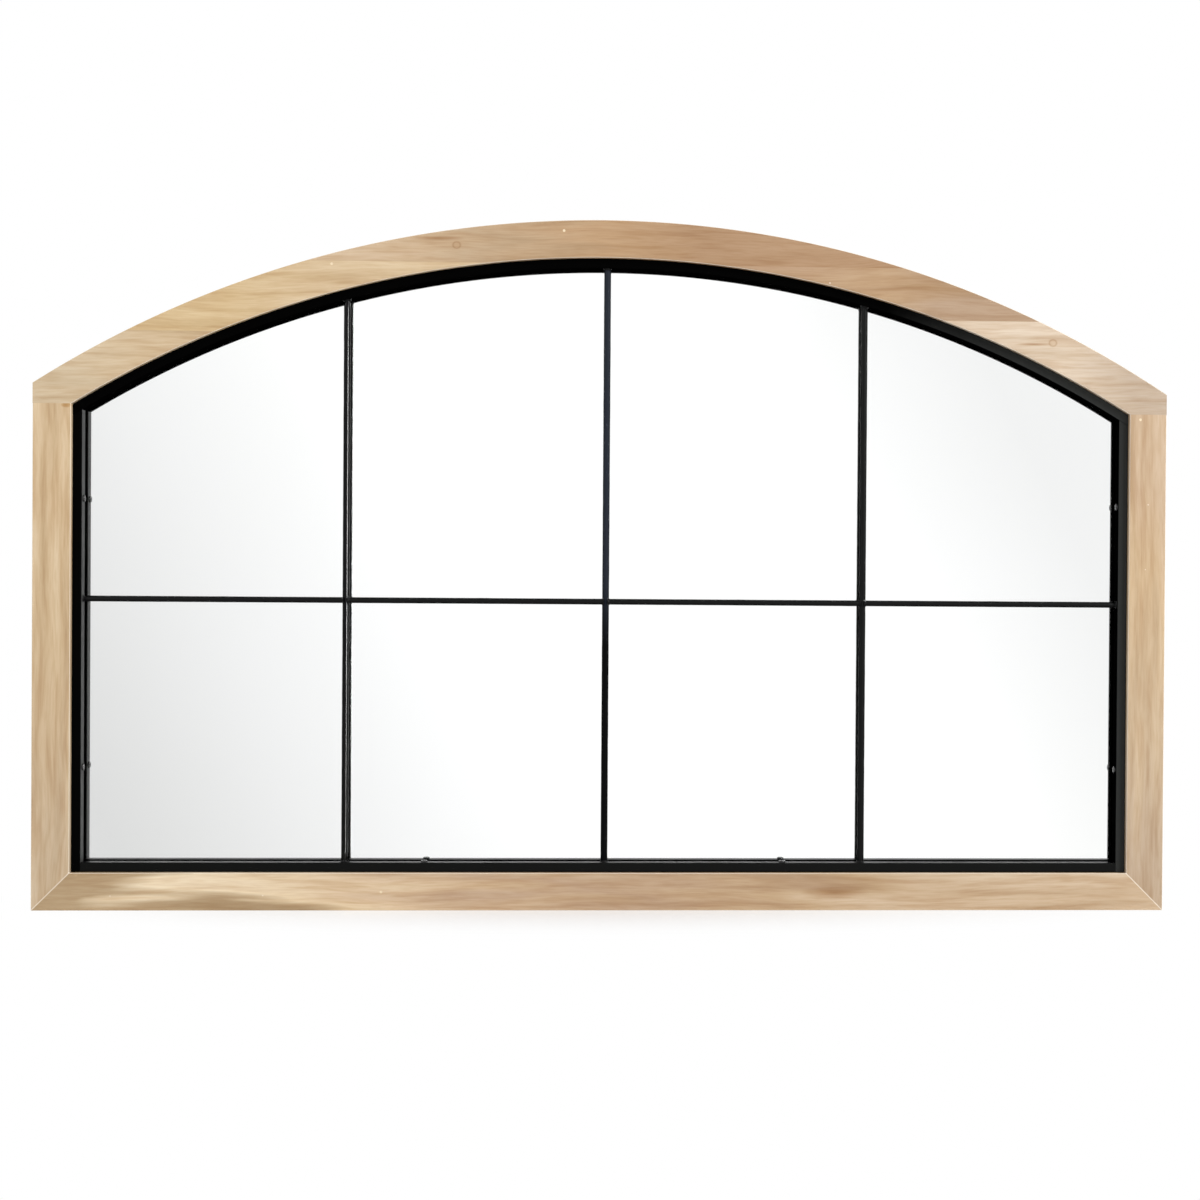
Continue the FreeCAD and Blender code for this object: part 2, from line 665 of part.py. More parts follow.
def hanger(side, sign, screws):
    """A strap with a rolled eye, and the D shaped ring that swings in the eye."""
    x = "(%sstrap_x)" % sign
    strap_left = x + " - strap_width / 2"
    flat = box(side + "_strap_flat", strap_left, "back_y", "ring_z - strap_length",
               "strap_width", "strap_thickness", "strap_length")
    end = rod(side + "_strap_end", ALONG_Y, x, "back_y", "ring_z - strap_length",
              "strap_width / 2", "strap_thickness")
    below = box(side + "_strap_below", strap_left, "back_y",
                "ring_z - strap_length - strap_width / 2", "strap_width", "strap_thickness",
                "strap_width / 2")
    round_end = common(side + "_strap_round_end", end, below)
    curl = doc.addObject("Part::Cylinder", side + "_strap_curl")
    # The curl's sector starts at the strap and runs round the ring to a small gap.
    curl.Placement = FreeCAD.Placement(FreeCAD.Vector(), FreeCAD.Rotation(
        FreeCAD.Vector(0, -1, 0), FreeCAD.Vector(0, 0, 1), FreeCAD.Vector(-1, 0, 0), "ZXY"))
    bind(curl, Radius="eye_outer_r", Height="strap_width", Angle=EYE_SWEEP)
    place(curl, x + " + strap_width / 2", "ring_y", "ring_z")
    core = rod(side + "_strap_core", ALONG_X, strap_left, "ring_y", "ring_z", "eye_r",
               "strap_width")
    eye = cut(side + "_strap_eye", curl, core)
    strap = fuse(side + "_strap_whole", [flat, round_end, eye])
    subpart(cut(side + "_strap_piece", strap, screws), "hanger_strap_" + side)

    bar = rod(side + "_ring_bar", ALONG_X, x + " - ring_half_bar", "ring_y", "ring_z",
              "ring_wire / 2", "2 * ring_half_bar")
    arcs = []
    corner_z = "ring_z - ring_corner"
    lower = FreeCAD.Rotation(FreeCAD.Vector(1, 0, 0), -90)
    for tag, arc_x, turned, bend, sweep in (
            ("right_corner", x + " + ring_half_bar", 270, "ring_corner", 90),
            ("left_corner", x + " - ring_half_bar", 180, "ring_corner", 90),
            ("bow", x, 0, "ring_half", 180)):
        arc = doc.addObject("Part::Torus", "%s_ring_%s" % (side, tag))
        spin = FreeCAD.Rotation(FreeCAD.Vector(0, 0, 1), turned)
        arc.Placement = FreeCAD.Placement(FreeCAD.Vector(), lower * spin)
        bind(arc, Radius1=bend, Radius2="ring_wire / 2", Angle3=str(sweep))
        arcs.append(place(arc, arc_x, "ring_y", corner_z))
    subpart(fuse(side + "_ring_whole", [bar] + arcs), "hanger_ring_" + side)


def bumpers():
    for side, sign in (("left", "0 - "), ("right", "")):
        lean = "(%sarch_bumper_lean)" % sign
        radius = "(outer_radius - bumper_edge)"
        for tag, x, z in (
                ("lower", sign + "(half_width - bumper_corner)", "floor_z + bumper_edge"),
                ("upper", radius + " * sin(%s)" % lean,
                 "centre_z + %s * cos(%s)" % (radius, lean))):
            foot = cone("%s_%s_bumper_cone" % (tag, side), ALONG_Y, x, "back_y", z,
                        "bumper_diameter / 2", "bumper_tip / 2", "bumper_height")
            subpart(foot, "wall_bumper_%s_%s" % (tag, side))


# ---------------------------------------------------------------- assembly

places = button_places()
grille_set = grille_screws()
button_set = button_screws(places)
strap_set = strap_screws()
dowel_set = dowels()
nail_set = v_nails()
brad_set, filler_set = brads_and_fillers()
# The brad below the stile's joint runs through a dowel and pins it.
pinned_dowels = cut("pinned_dowels", dowel_set, brad_set)

wooden_frame([grille_set, button_set, strap_set, dowel_set, nail_set, brad_set, filler_set])
grille(grille_set)
mirror_pack()
for label, x, z, angle in places:
    turn_button(label, x, z, angle)
hanger("left", "0 - ", strap_set)
hanger("right", "", strap_set)
bumpers()
for item, label in ((grille_set, "grille_screws"), (button_set, "turn_button_screws"),
                    (strap_set, "hanger_screws"), (pinned_dowels, "joint_dowels"),
                    (nail_set, "mitre_v_nails"), (brad_set, "face_brads"),
                    (filler_set, "filler_plugs")):
    subpart(item, label)

# ---------------------------------------------------------------- check and write

doc.recompute()
for item in doc.Objects:
    if "Invalid" in item.State or "Error" in item.State:
        raise RuntimeError("%s did not build: %s" % (item.Name, item.State))
for item in subparts:
    if item.Shape.isNull() or not item.Shape.isValid():
        raise RuntimeError("%s has no sound shape" % item.Label)

os.makedirs("parts", exist_ok=True)
for item in subparts:
    item.Shape.exportStep(os.path.join("parts", item.Label + ".step"))
print("%d pieces written" % len(subparts))
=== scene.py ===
import math

import bmesh
import bpy
from mathutils import Matrix, Vector


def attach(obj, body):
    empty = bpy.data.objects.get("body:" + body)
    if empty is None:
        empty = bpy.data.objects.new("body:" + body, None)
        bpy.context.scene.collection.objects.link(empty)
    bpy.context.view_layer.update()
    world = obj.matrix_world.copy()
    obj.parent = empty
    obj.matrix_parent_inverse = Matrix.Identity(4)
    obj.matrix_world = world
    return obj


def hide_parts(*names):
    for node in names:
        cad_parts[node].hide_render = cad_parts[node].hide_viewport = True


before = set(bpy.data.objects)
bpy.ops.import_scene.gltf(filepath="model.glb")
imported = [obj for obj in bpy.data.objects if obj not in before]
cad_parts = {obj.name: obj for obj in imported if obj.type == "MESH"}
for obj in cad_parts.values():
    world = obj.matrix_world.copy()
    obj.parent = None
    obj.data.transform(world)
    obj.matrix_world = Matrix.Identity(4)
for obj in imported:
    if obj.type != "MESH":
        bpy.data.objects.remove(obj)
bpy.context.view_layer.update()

# Arched window mirror.  X runs to the right as seen from the front, Z up, and the
# face looks along -Y.  The origin lies on the wall at the height of the hooks.
MM = 0.001
# Points this near to each other, or to a plane, count as one, or as on it.
TOUCH = 0.01 * MM

# Lengths in metres, the same as in the model that this scene dresses.
HALF_WIDTH = 500 * MM
FLOOR = -435 * MM
FRONT = -29 * MM
BACK = -5 * MM
FACE_WIDTH = 33 * MM
REBATE = 8 * MM
GLASS_FRONT = -11 * MM
GLASS_BACK = -8 * MM
GLASS_PLAY = 1 * MM
GLASS_EDGE = 0.4 * MM
RISE = 148.5 * MM
OUTER_RADIUS = (HALF_WIDTH ** 2 + RISE ** 2) / (2 * RISE)
INNER_RADIUS = OUTER_RADIUS - FACE_WIDTH
TOP = 175 * MM
ARCH_CENTRE = TOP - OUTER_RADIUS
INNER_HALF = HALF_WIDTH - FACE_WIDTH
JOINT = ARCH_CENTRE + math.sqrt(INNER_RADIUS ** 2 - INNER_HALF ** 2)
GRILLE_PLAY = 0.5 * MM
BAR_FACE = 8 * MM
BAR_FRONT = -24 * MM
BAR_BACK = -14 * MM
PANE_HALF = INNER_HALF - GRILLE_PLAY - BAR_FACE
PANE_RADIUS = INNER_RADIUS - GRILLE_PLAY - BAR_FACE
PANE_FLOOR = FLOOR + FACE_WIDTH + GRILLE_PLAY + BAR_FACE
ROD_DEPTH = -18 * MM

UP = (0, 0, 1)
DOWN = (0, 0, -1)
LEFT = (-1, 0, 0)
RIGHT = (1, 0, 0)
CLOCKWISE = (0, -1, 0)

# ------------------------------------------------------------------ modelling


def clear_selection():
    if bpy.context.object is not None and bpy.context.object.mode != "OBJECT":
        bpy.ops.object.mode_set(mode="OBJECT")
    bpy.ops.object.select_all(action="DESELECT")


def hold(piece):
    """Make one piece the only selected and active one."""
    clear_selection()
    piece.select_set(True)
    bpy.context.view_layer.objects.active = piece
    return piece


def named(name, scale=(1, 1, 1)):
    """Name and scale the new primitive, put its place into its mesh and open it for editing."""
    piece = bpy.context.object
    piece.scale = scale
    piece.name = name
    piece.data.name = name
    bpy.ops.object.transform_apply(location=True, rotation=True, scale=True)
    bpy.ops.object.mode_set(mode="EDIT")
    bpy.ops.mesh.select_mode(type="VERT")
    select_all()
    return piece


def pick(kind, rule):
    """Select the open mesh's vertices, edges or faces whose points all keep to a rule."""
    bpy.ops.mesh.select_mode(type=kind)
    bpy.ops.mesh.select_all(action="DESELECT")
    mesh = bmesh.from_edit_mesh(bpy.context.object.data)
    if kind == "VERT":
        for vertex in mesh.verts:
            vertex.select_set(rule(vertex.co))
    else:
        for part in (mesh.edges if kind == "EDGE" else mesh.faces):
            part.select_set(all(rule(vertex.co) for vertex in part.verts))
    mesh.select_flush_mode()
    bmesh.update_edit_mesh(bpy.context.object.data)


def select_all():
    bpy.ops.mesh.select_mode(type="VERT")
    bpy.ops.mesh.select_all(action="SELECT")


def extrude(offset):
    bpy.ops.mesh.extrude_region_move(TRANSFORM_OT_translate={"value": offset})


def saw(point, normal, fill=True):
    """Cut the open mesh with a plane and throw away the side that its normal points to."""
    select_all()
    bpy.ops.mesh.bisect(plane_co=point, plane_no=normal, use_fill=fill, clear_outer=True)


def close_up(piece, smooth_angle=40):
    """Weld the open mesh, turn its faces outwards and shade its curves."""
    select_all()
    bpy.ops.mesh.remove_doubles(threshold=TOUCH)
    select_all()
    bpy.ops.mesh.normals_make_consistent(inside=False)
    bpy.ops.object.mode_set(mode="OBJECT")
    hold(piece)
    bpy.ops.object.shade_smooth_by_angle(angle=math.radians(smooth_angle))
    return piece


def put(piece, matrix):
    """Turn and move a piece, and put that into its mesh."""
    hold(piece)
    piece.matrix_world = matrix @ piece.matrix_world
    bpy.ops.object.transform_apply(location=True, rotation=True, scale=True)
    return piece


def copy_of(piece, name, matrix=Matrix()):
    """A copy with its own mesh, put in its own place."""
    copied = piece.copy()
    copied.data = piece.data.copy()
    copied.name = name
    copied.data.name = name
    bpy.context.scene.collection.objects.link(copied)
    return put(copied, matrix)


def throw_away(*pieces):
    for piece in pieces:
        bpy.data.objects.remove(piece, do_unlink=True)


def carve(piece, cutters, smooth_angle=40):
    """Cut the shapes of the cutters out of a piece and shade it afresh."""
    for cutter in cutters:
        hold(piece)
        cutting = piece.modifiers.new("cut", "BOOLEAN")
        cutting.operation = "DIFFERENCE"
        cutting.solver = "EXACT"
        cutting.object = cutter
        bpy.ops.object.modifier_apply(modifier=cutting.name)
    throw_away(*cutters)
    hold(piece)
    bpy.ops.object.shade_smooth_by_angle(angle=math.radians(smooth_angle))
    return piece


def finish(piece, body, node, material):
    """Give a piece its material, its body and the node that it stands for."""
    piece.data.materials.clear()
    piece.data.materials.append(material)
    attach(piece, body)
    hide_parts(node)
    return piece


def spin_about_y(angle, x=0.0, y=0.0, z=0.0):
    return Matrix.Translation((x, y, z)) @ Matrix.Rotation(angle, 4, "Y")


# ------------------------------------------------------------------ bars by their section

# Bends of up to this many degrees are shaded smooth on bars, so that their faces stay flat.
FLAT = 12
ARRIS_STEPS = 3


def section(name, inner, width, front, back, arris, rebate_from=None):
    """The outline of a bar's section in the YZ plane, its opening side at the bottom.

    A rebate is left out of the lower back corner from the depth rebate_from.  The
    corners at the front and the back are rounded to the size of the arris.
    """
    clear_selection()
    deep = back if rebate_from is None else rebate_from
    bpy.ops.mesh.primitive_plane_add(size=1, location=(0, (front + deep) / 2, inner + width / 2),
                                     rotation=(0, math.pi / 2, 0))
    piece = named(name, (width, deep - front, 1))
    if rebate_from is not None:
        bpy.ops.mesh.bisect(plane_co=(0, 0, inner + REBATE), plane_no=UP)
        pick("EDGE", lambda p: p.y > deep - TOUCH and p.z > inner + REBATE - TOUCH)
        extrude((0, back - deep, 0))
        select_all()
        bpy.ops.mesh.dissolve_limited(angle_limit=math.radians(1))
    pick("VERT", lambda p: p.y < front + TOUCH or p.y > back - TOUCH)
    bpy.ops.mesh.bevel(offset=arris, segments=ARRIS_STEPS, affect="VERTICES")
    select_all()
    bpy.ops.mesh.delete(type="ONLY_FACE")
    return piece


# A swept arch runs this far to both sides of its middle before it is sawn to length.
ARCH_REACH = math.radians(37)
ARCH_STEPS = 148


def bent_bar(piece):
    """Sweep an open section along the arch, well past both ends."""
    bpy.ops.object.mode_set(mode="OBJECT")
    turned = spin_about_y(-ARCH_REACH, z=ARCH_CENTRE) @ Matrix.Translation((0, 0, -ARCH_CENTRE))
    put(piece, turned)
    bpy.ops.object.mode_set(mode="EDIT")
    select_all()
    bpy.ops.mesh.spin(steps=ARCH_STEPS, angle=2 * ARCH_REACH, center=(0, 0, ARCH_CENTRE),
                      axis=CLOCKWISE)
    select_all()
    bpy.ops.mesh.remove_doubles(threshold=TOUCH)
    bpy.ops.object.mode_set(mode="OBJECT")
    return piece


def straight_bar(piece, half_length):
    """Sweep an open section along X, the same length to both sides."""
    bpy.ops.object.mode_set(mode="OBJECT")
    put(piece, Matrix.Translation((-half_length, 0, 0)))
    bpy.ops.object.mode_set(mode="EDIT")
    select_all()
    extrude((2 * half_length, 0, 0))
    bpy.ops.object.mode_set(mode="OBJECT")
    return piece


def cut_to_length(piece, planes):
    """Saw a swept bar with planes, each a point, a normal and whether it gets an end face."""
    hold(piece)
    bpy.ops.object.mode_set(mode="EDIT")
    for point, normal, fill in planes:
        saw(point, normal, fill=fill)
    return close_up(piece, FLAT)


# ------------------------------------------------------------------ wooden frame

ARRIS = 0.7 * MM
# Half the lengths of the sides and the rail before they are sawn.
UNCUT_SIDE = 450 * MM
UNCUT_RAIL = 510 * MM
# The level seams between the arch's boards, as shares of its rise.
SHOULDER = TOP - RISE
LEFT_SEAM = SHOULDER + RISE * 0.313
RIGHT_SEAM = SHOULDER + RISE * 0.428
CROWN_SEAM = SHOULDER + RISE * 0.737


def arch_boards():
    """Five boards sawn out of one swept arch along their seams."""
    whole = bent_bar(section("arch", ARCH_CENTRE + INNER_RADIUS, FACE_WIDTH, FRONT, BACK, ARRIS,
                             GLASS_FRONT))
    boards = {"crown_board": [((0, 0, CROWN_SEAM), DOWN, True)]}
    for side, seam, outwards, inwards, way in (("left", LEFT_SEAM, LEFT, RIGHT, -1),
                                               ("right", RIGHT_SEAM, RIGHT, LEFT, 1)):
        boards[side + "_shoulder_board"] = [((0, 0, CROWN_SEAM), UP, True),
                                            ((0, 0, seam), DOWN, True),
                                            ((0, 0, 0), inwards, False)]
        boards[side + "_foot_board"] = [((0, 0, seam), UP, True), ((0, 0, JOINT), DOWN, True),
                                        ((0, 0, 0), inwards, False),
                                        ((way * HALF_WIDTH, 0, 0), outwards, True)]
    made = {}
    for name, planes in boards.items():
        made[name] = cut_to_length(copy_of(whole, name + "_piece"), planes)
    throw_away(whole)
    return made


def straight_boards():
    """Stiles and rail, mitred at the bottom, the stiles sawn level under the arch."""
    made = {}
    for name, angle, x, z, half in (("left_stile", -90, -INNER_HALF, 0, UNCUT_SIDE),
                                    ("right_stile", 90, INNER_HALF, 0, UNCUT_SIDE),
                                    ("bottom_rail", 180, 0, FLOOR + FACE_WIDTH, UNCUT_RAIL)):
        piece = straight_bar(section(name + "_piece", 0, FACE_WIDTH, FRONT, BACK, ARRIS,
                                     GLASS_FRONT), half)
        put(piece, spin_about_y(math.radians(angle), x=x, z=z))
        made[name] = piece
    corner = {-1: (-HALF_WIDTH, 0, FLOOR), 1: (HALF_WIDTH, 0, FLOOR)}
    for name, way in (("left_stile", -1), ("right_stile", 1)):
        cut_to_length(made[name], [((0, 0, JOINT), UP, True), (corner[way], (-way, 0, -1), True)])
    cut_to_length(made["bottom_rail"], [(corner[-1], (-1, 0, 1), True),
                                        (corner[1], (1, 0, 1), True)])
    return made


# ------------------------------------------------------------------ materials


def linear(code):
    """An sRGB hex colour as the linear values that a shader wants."""
    out = []
    for start in (1, 3, 5):
        value = int(code[start:start + 2], 16) / 255
        out.append(value / 12.92 if value <= 0.04045 else ((value + 0.055) / 1.055) ** 2.4)
    return (*out, 1.0)


def add(tree, kind, inputs=None, **settings):
    """Add a node with its settings, and set or link its inputs."""
    made = tree.nodes.new(kind)
    for name, value in settings.items():
        setattr(made, name, value)
    for key, value in (inputs or {}).items():
        if isinstance(value, bpy.types.NodeSocket):
            tree.links.new(value, made.inputs[key])
        else:
            made.inputs[key].default_value = value
    return made


def new_material(name):
    material = bpy.data.materials.new(name)
    material.use_nodes = True
    tree = material.node_tree
    tree.nodes.clear()
    return material, tree


def ramp(tree, factor, stops):
    made = add(tree, "ShaderNodeValToRGB", {"Fac": factor})
    elements = made.color_ramp.elements
    while len(elements) < len(stops):
        elements.new(0.5)
    for element, (place, code) in zip(elements, stops):
        element.position = place
        element.color = linear(code)
    return made.outputs["Color"]


def close(tree, shader):
    output = add(tree, "ShaderNodeOutputMaterial")
    tree.links.new(shader.outputs[0], output.inputs["Surface"])


def shaded(tree, colour, shade, share=1.0):
    """A colour multiplied by a shade, wholly or in part."""
    return add(tree, "ShaderNodeMix", {0: share, 6: colour, 7: shade}, data_type="RGBA",
               blend_type="MULTIPLY").outputs[2]


def oval(tree, place, x, z, length, width):
    """How far a point on the front is from the middle of an oval, where 1 is its rim.

    Its place and its two radii are in millimetres.
    """
    near = add(tree, "ShaderNodeMapping", {"Vector": place, "Location": (x * MM, 0, z * MM),
                                           "Scale": (length * MM, 1.0, width * MM)},
               vector_type="TEXTURE").outputs["Vector"]
    return add(tree, "ShaderNodeVectorMath", {0: near}, operation="LENGTH").outputs["Value"]


# Shades from the middle of a mark on the wood to its rim.
MARKS = {
    "knot": [(0.0, "#fffdfa"), (0.5, "#fbf7f2"), (0.68, "#e6dace"), (0.84, "#f4eee7"),
             (1.0, "#ffffff")],
    "dark grain": [(0.0, "#d3bfac"), (0.35, "#e3d5c7"), (1.0, "#ffffff")],
    "glue": [(0.0, "#e0cba6"), (0.7, "#ede0ca"), (1.0, "#ffffff")],
}
# Pale tone of bare wood, for the flecks and for the painted highlights on arrises and mitres.
BARE_WOOD_AND_HIGHLIGHT = "#f7eedf"
# On the mitres, x either way of the middle plus z is this.
MITRE_SUM = FLOOR + HALF_WIDTH
# A face is the board's front where its normal comes this near to straight forward.
PLAIN_FRONT = 0.97
# The grain's pattern is drawn out to this length and width.
GRAIN_LENGTH = 160 * MM
GRAIN_WIDTH = 11 * MM


def bared_and_highlit(tree, colour, share):
    """A colour through which a share of the bare wood's pale tone shows: in flecks, and as
    painted highlight on the arrises and mitres.
    """
    return add(tree, "ShaderNodeMix", {0: share, 6: colour, 7: linear(BARE_WOOD_AND_HIGHLIGHT)},
               data_type="RGBA").outputs[2]


def wood_grain(tree, place, along, seed):
    """Three patterns drawn out along the grain: clouds, growth bands and fibres."""
    drift = add(tree, "ShaderNodeTexNoise", {"Vector": place, "Scale": 6.0, "Detail": 1.0})
    drifted = add(tree, "ShaderNodeVectorMath", {0: drift.outputs["Color"], 1: (0.5, 0.5, 0.5)},
                  operation="SUBTRACT")
    # The lines of the grain wander by up to 7 mm either way.
    bent = add(tree, "ShaderNodeVectorMath", {0: drifted.outputs[0], 1: (0.014, 0.014, 0.014),
                                              2: place}, operation="MULTIPLY_ADD")
    size = [GRAIN_WIDTH, GRAIN_WIDTH, GRAIN_WIDTH]
    size["XYZ".index(along)] = GRAIN_LENGTH
    stretched = add(tree, "ShaderNodeMapping", {"Vector": bent.outputs[0],
                                                "Location": (seed, seed * 0.7, seed * 1.3),
                                                "Scale": size},
                    vector_type="TEXTURE").outputs["Vector"]
    # Clouds are 14 mm wide and growth bands 5 mm.  Real fibres are under 0.5 mm wide, and
    # are drawn 1.4 mm wide so that they show.
    return [add(tree, "ShaderNodeTexNoise", {"Vector": stretched, "Scale": scale,
                                             "Detail": detail, "Roughness": 0.5}).outputs["Fac"]
            for scale, detail in ((0.8, 1.5), (2.3, 2.0), (8.0, 2.0))]


def mitre_highlight(tree, place):
    """How much a point is on a mitre, where a pale line 0.8 mm wide is painted as a highlight on
    the joint's edges.
    """
    apart = add(tree, "ShaderNodeSeparateXYZ", {"Vector": place})
    out = add(tree, "ShaderNodeMath", {0: apart.outputs["X"]}, operation="ABSOLUTE")
    total = add(tree, "ShaderNodeMath", {0: out.outputs[0], 1: apart.outputs["Z"]},
                operation="ADD")
    off_mitre = add(tree, "ShaderNodeMath", {0: total.outputs[0], 1: MITRE_SUM},
                    operation="SUBTRACT")
    gap = add(tree, "ShaderNodeMath", {0: off_mitre.outputs[0]}, operation="ABSOLUTE")
    return add(tree, "ShaderNodeMapRange", {"Value": gap.outputs[0], "From Min": 0.8 * MM,
                                            "From Max": 0.3 * MM, "To Max": 0.6}).outputs[0]


def arris_highlight(tree, normal):
    """How much a point is on a rounded edge of the front, which is painted pale as a highlight
    where it catches the light.
    """
    facing = add(tree, "ShaderNodeSeparateXYZ", {"Vector": normal})
    forward = add(tree, "ShaderNodeMath", {0: facing.outputs["Y"], 1: -1.0},
                  operation="MULTIPLY").outputs[0]
    off_front = add(tree, "ShaderNodeMapRange", {"Value": forward, "From Min": PLAIN_FRONT,
                                                 "From Max": 0.9})
    off_side = add(tree, "ShaderNodeMapRange", {"Value": forward, "From Min": 0.1,
                                                "From Max": 0.3, "To Max": 0.75})
    return add(tree, "ShaderNodeMath", {0: off_front.outputs["Result"],
                                        1: off_side.outputs["Result"]},
               operation="MULTIPLY").outputs[0]


def pine(name, along, span, tones, seed, marks=(), flecks=()):
    """Planed pine, limed and waxed: pale, with soft clouds and blurred grain.

    along is the grain's axis, span the board's two ends on it, and tones the colours
    that the board goes through between them.  Marks and flecks are in millimetres.
    """
    material, tree = new_material(name)
    texture_place = add(tree, "ShaderNodeTexCoord")
    place = texture_place.outputs["Object"]
    clouds, bands, fibres = wood_grain(tree, place, along, seed)
    # The tones follow the board's length, and the clouds shift where they change.
    axis = add(tree, "ShaderNodeSeparateXYZ", {"Vector": place}).outputs[along]
    run = add(tree, "ShaderNodeMapRange", {"Value": axis, "From Min": span[0],
                                           "From Max": span[1]}).outputs["Result"]
    wander = add(tree, "ShaderNodeMath", {0: clouds, 1: 0.5}, operation="SUBTRACT")
    wandering = add(tree, "ShaderNodeMath", {0: wander.outputs[0], 1: 0.6, 2: run},
                    operation="MULTIPLY_ADD")
    colour = ramp(tree, wandering.outputs[0], tones)
    for pattern, share, stops in (
            (clouds, 1.0, [(0.35, "#ebe5dd"), (0.5, "#f8f5f1"), (0.64, "#ffffff")]),
            (bands, 1.0, [(0.34, "#efe7de"), (0.5, "#fbf9f6"), (0.66, "#ffffff")]),
            (fibres, 0.8, [(0.35, "#f5f0ea"), (0.6, "#ffffff")])):
        colour = shaded(tree, colour, ramp(tree, pattern, stops), share)
    for kind, x, z, length, width in marks:
        far = oval(tree, place, x, z, length, width)
        colour = shaded(tree, colour, ramp(tree, far, MARKS[kind]))
    for x, z, size in flecks:
        far = oval(tree, place, x, z, size, size)
        inside = add(tree, "ShaderNodeMapRange", {"Value": far, "From Min": 1.0, "From Max": 0.5,
                                                  "To Max": 0.5})
        colour = bared_and_highlit(tree, colour, inside.outputs["Result"])
    # Painted highlight: a pale line along the mitres.
    colour = bared_and_highlit(tree, colour, mitre_highlight(tree, place))
    # Painted highlight: the rounded front edges are painted pale where they catch the light.
    colour = bared_and_highlit(tree, colour, arris_highlight(tree, texture_place.outputs["Normal"]))
    bump = add(tree, "ShaderNodeBump", {"Height": fibres, "Strength": 0.12,
                                        "Distance": 0.3 * MM})
    shader = add(tree, "ShaderNodeBsdfPrincipled",
                 {"Base Color": colour, "Roughness": 0.62, "IOR": 1.45,
                  "Specular IOR Level": 0.25, "Normal": bump.outputs["Normal"]})
    close(tree, shader)
    return material


# The colour of faces that look forward, on some pieces a painted sheen, is given from here to
# here along X or Z.
FRONT_COLOUR_SPAN = (-500 * MM, 500 * MM)


def black_paint(name, along, stops, gloss, roughness, front_limit=0.8, wall="#030303"):
    """Black paint on steel, one colour on faces that look forward and another on the rest.

    The forward colour changes along one axis. On the right bar and the centre rod it is a
    painted sheen and reflection, and on the left bar the other colour is painted light on
    its inner side. stops are metres and colours, the argument after roughness is how
    squarely a face must look forward for them, and wall is the colour of the other faces.
    """
    material, tree = new_material(name)
    texture_place = add(tree, "ShaderNodeTexCoord")
    place = texture_place.outputs["Object"]
    # Patches of 25 mm, over which the forward colour changes unevenly and the paint is more or
    # less dull.
    patches = add(tree, "ShaderNodeTexNoise", {"Vector": place, "Scale": 40.0, "Detail": 2.0})
    axis = add(tree, "ShaderNodeSeparateXYZ", {"Vector": place}).outputs[along]
    wander = add(tree, "ShaderNodeMath", {0: patches.outputs["Fac"], 1: 0.02, 2: axis},
                 operation="MULTIPLY_ADD")
    run = add(tree, "ShaderNodeMapRange", {"Value": wander.outputs[0], "From Min": FRONT_COLOUR_SPAN[0],
                                           "From Max": FRONT_COLOUR_SPAN[1]}).outputs["Result"]
    front_colour_and_sheen = ramp(tree, run, [(metres - FRONT_COLOUR_SPAN[0], code) for metres, code in stops])
    # Faces that look forward take the stops' colour and the rest the wall colour: a painted split
    # of lit and unlit sides on the left and right bars.
    facing = add(tree, "ShaderNodeSeparateXYZ", {"Vector": texture_place.outputs["Normal"]})
    squarely = add(tree, "ShaderNodeMapRange", {"Value": facing.outputs["Y"],
                                                "From Min": 0.3 - front_limit, "From Max": -front_limit})
    colour = add(tree, "ShaderNodeMix", {0: squarely.outputs["Result"], 6: linear(wall),
                                         7: front_colour_and_sheen}, data_type="RGBA").outputs[2]
    # Orange peel of about 1 mm, which breaks up the highlights.
    peel = add(tree, "ShaderNodeTexNoise", {"Vector": place, "Scale": 900.0, "Detail": 2.0})
    rough = add(tree, "ShaderNodeMapRange", {"Value": patches.outputs["Fac"],
                                             "To Min": roughness - 0.08,
                                             "To Max": roughness + 0.08})
    bump = add(tree, "ShaderNodeBump", {"Height": peel.outputs["Fac"], "Strength": 0.1,
                                        "Distance": 0.3 * MM})
    shader = add(tree, "ShaderNodeBsdfPrincipled",
                 {"Base Color": colour, "Roughness": rough.outputs["Result"], "IOR": 1.5,
                  "Specular IOR Level": gloss, "Normal": bump.outputs["Normal"]})
    close(tree, shader)
    return material


def plain_grained(name, dark, light, grain, roughness, metallic=0.0, gloss=0.5):
    """A surface with a fine even grain: dark and light tones, grain size in metres."""
    material, tree = new_material(name)
    place = add(tree, "ShaderNodeTexCoord").outputs["Object"]
    noise = add(tree, "ShaderNodeTexNoise", {"Vector": place, "Scale": 1 / grain,
                                             "Detail": 4.0, "Roughness": 0.6})
    colour = ramp(tree, noise.outputs["Fac"], [(0.35, dark), (0.65, light)])
    bump = add(tree, "ShaderNodeBump", {"Height": noise.outputs["Fac"],
                                        "Strength": 0.1, "Distance": grain / 3})
    shader = add(tree, "ShaderNodeBsdfPrincipled",
                 {"Base Color": colour, "Roughness": roughness, "Metallic": metallic,
                  "Specular IOR Level": gloss, "Normal": bump.outputs["Normal"]})
    close(tree, shader)
    return material


def silvering():
    """Silver on the back of the glass, which gives the clean untinted picture in the mirror."""
    material, tree = new_material("silvered back of the mirror")
    place = add(tree, "ShaderNodeTexCoord").outputs["Object"]
    haze = add(tree, "ShaderNodeTexNoise", {"Vector": place, "Scale": 3.0, "Detail": 1.0})
    colour = ramp(tree, haze.outputs["Fac"], [(0.3, "#fcfcfc"), (0.7, "#fefefe")])
    shader = add(tree, "ShaderNodeBsdfPrincipled", {"Base Color": colour, "Metallic": 1.0,
                                                    "Roughness": 0.0})
    close(tree, shader)
    return material


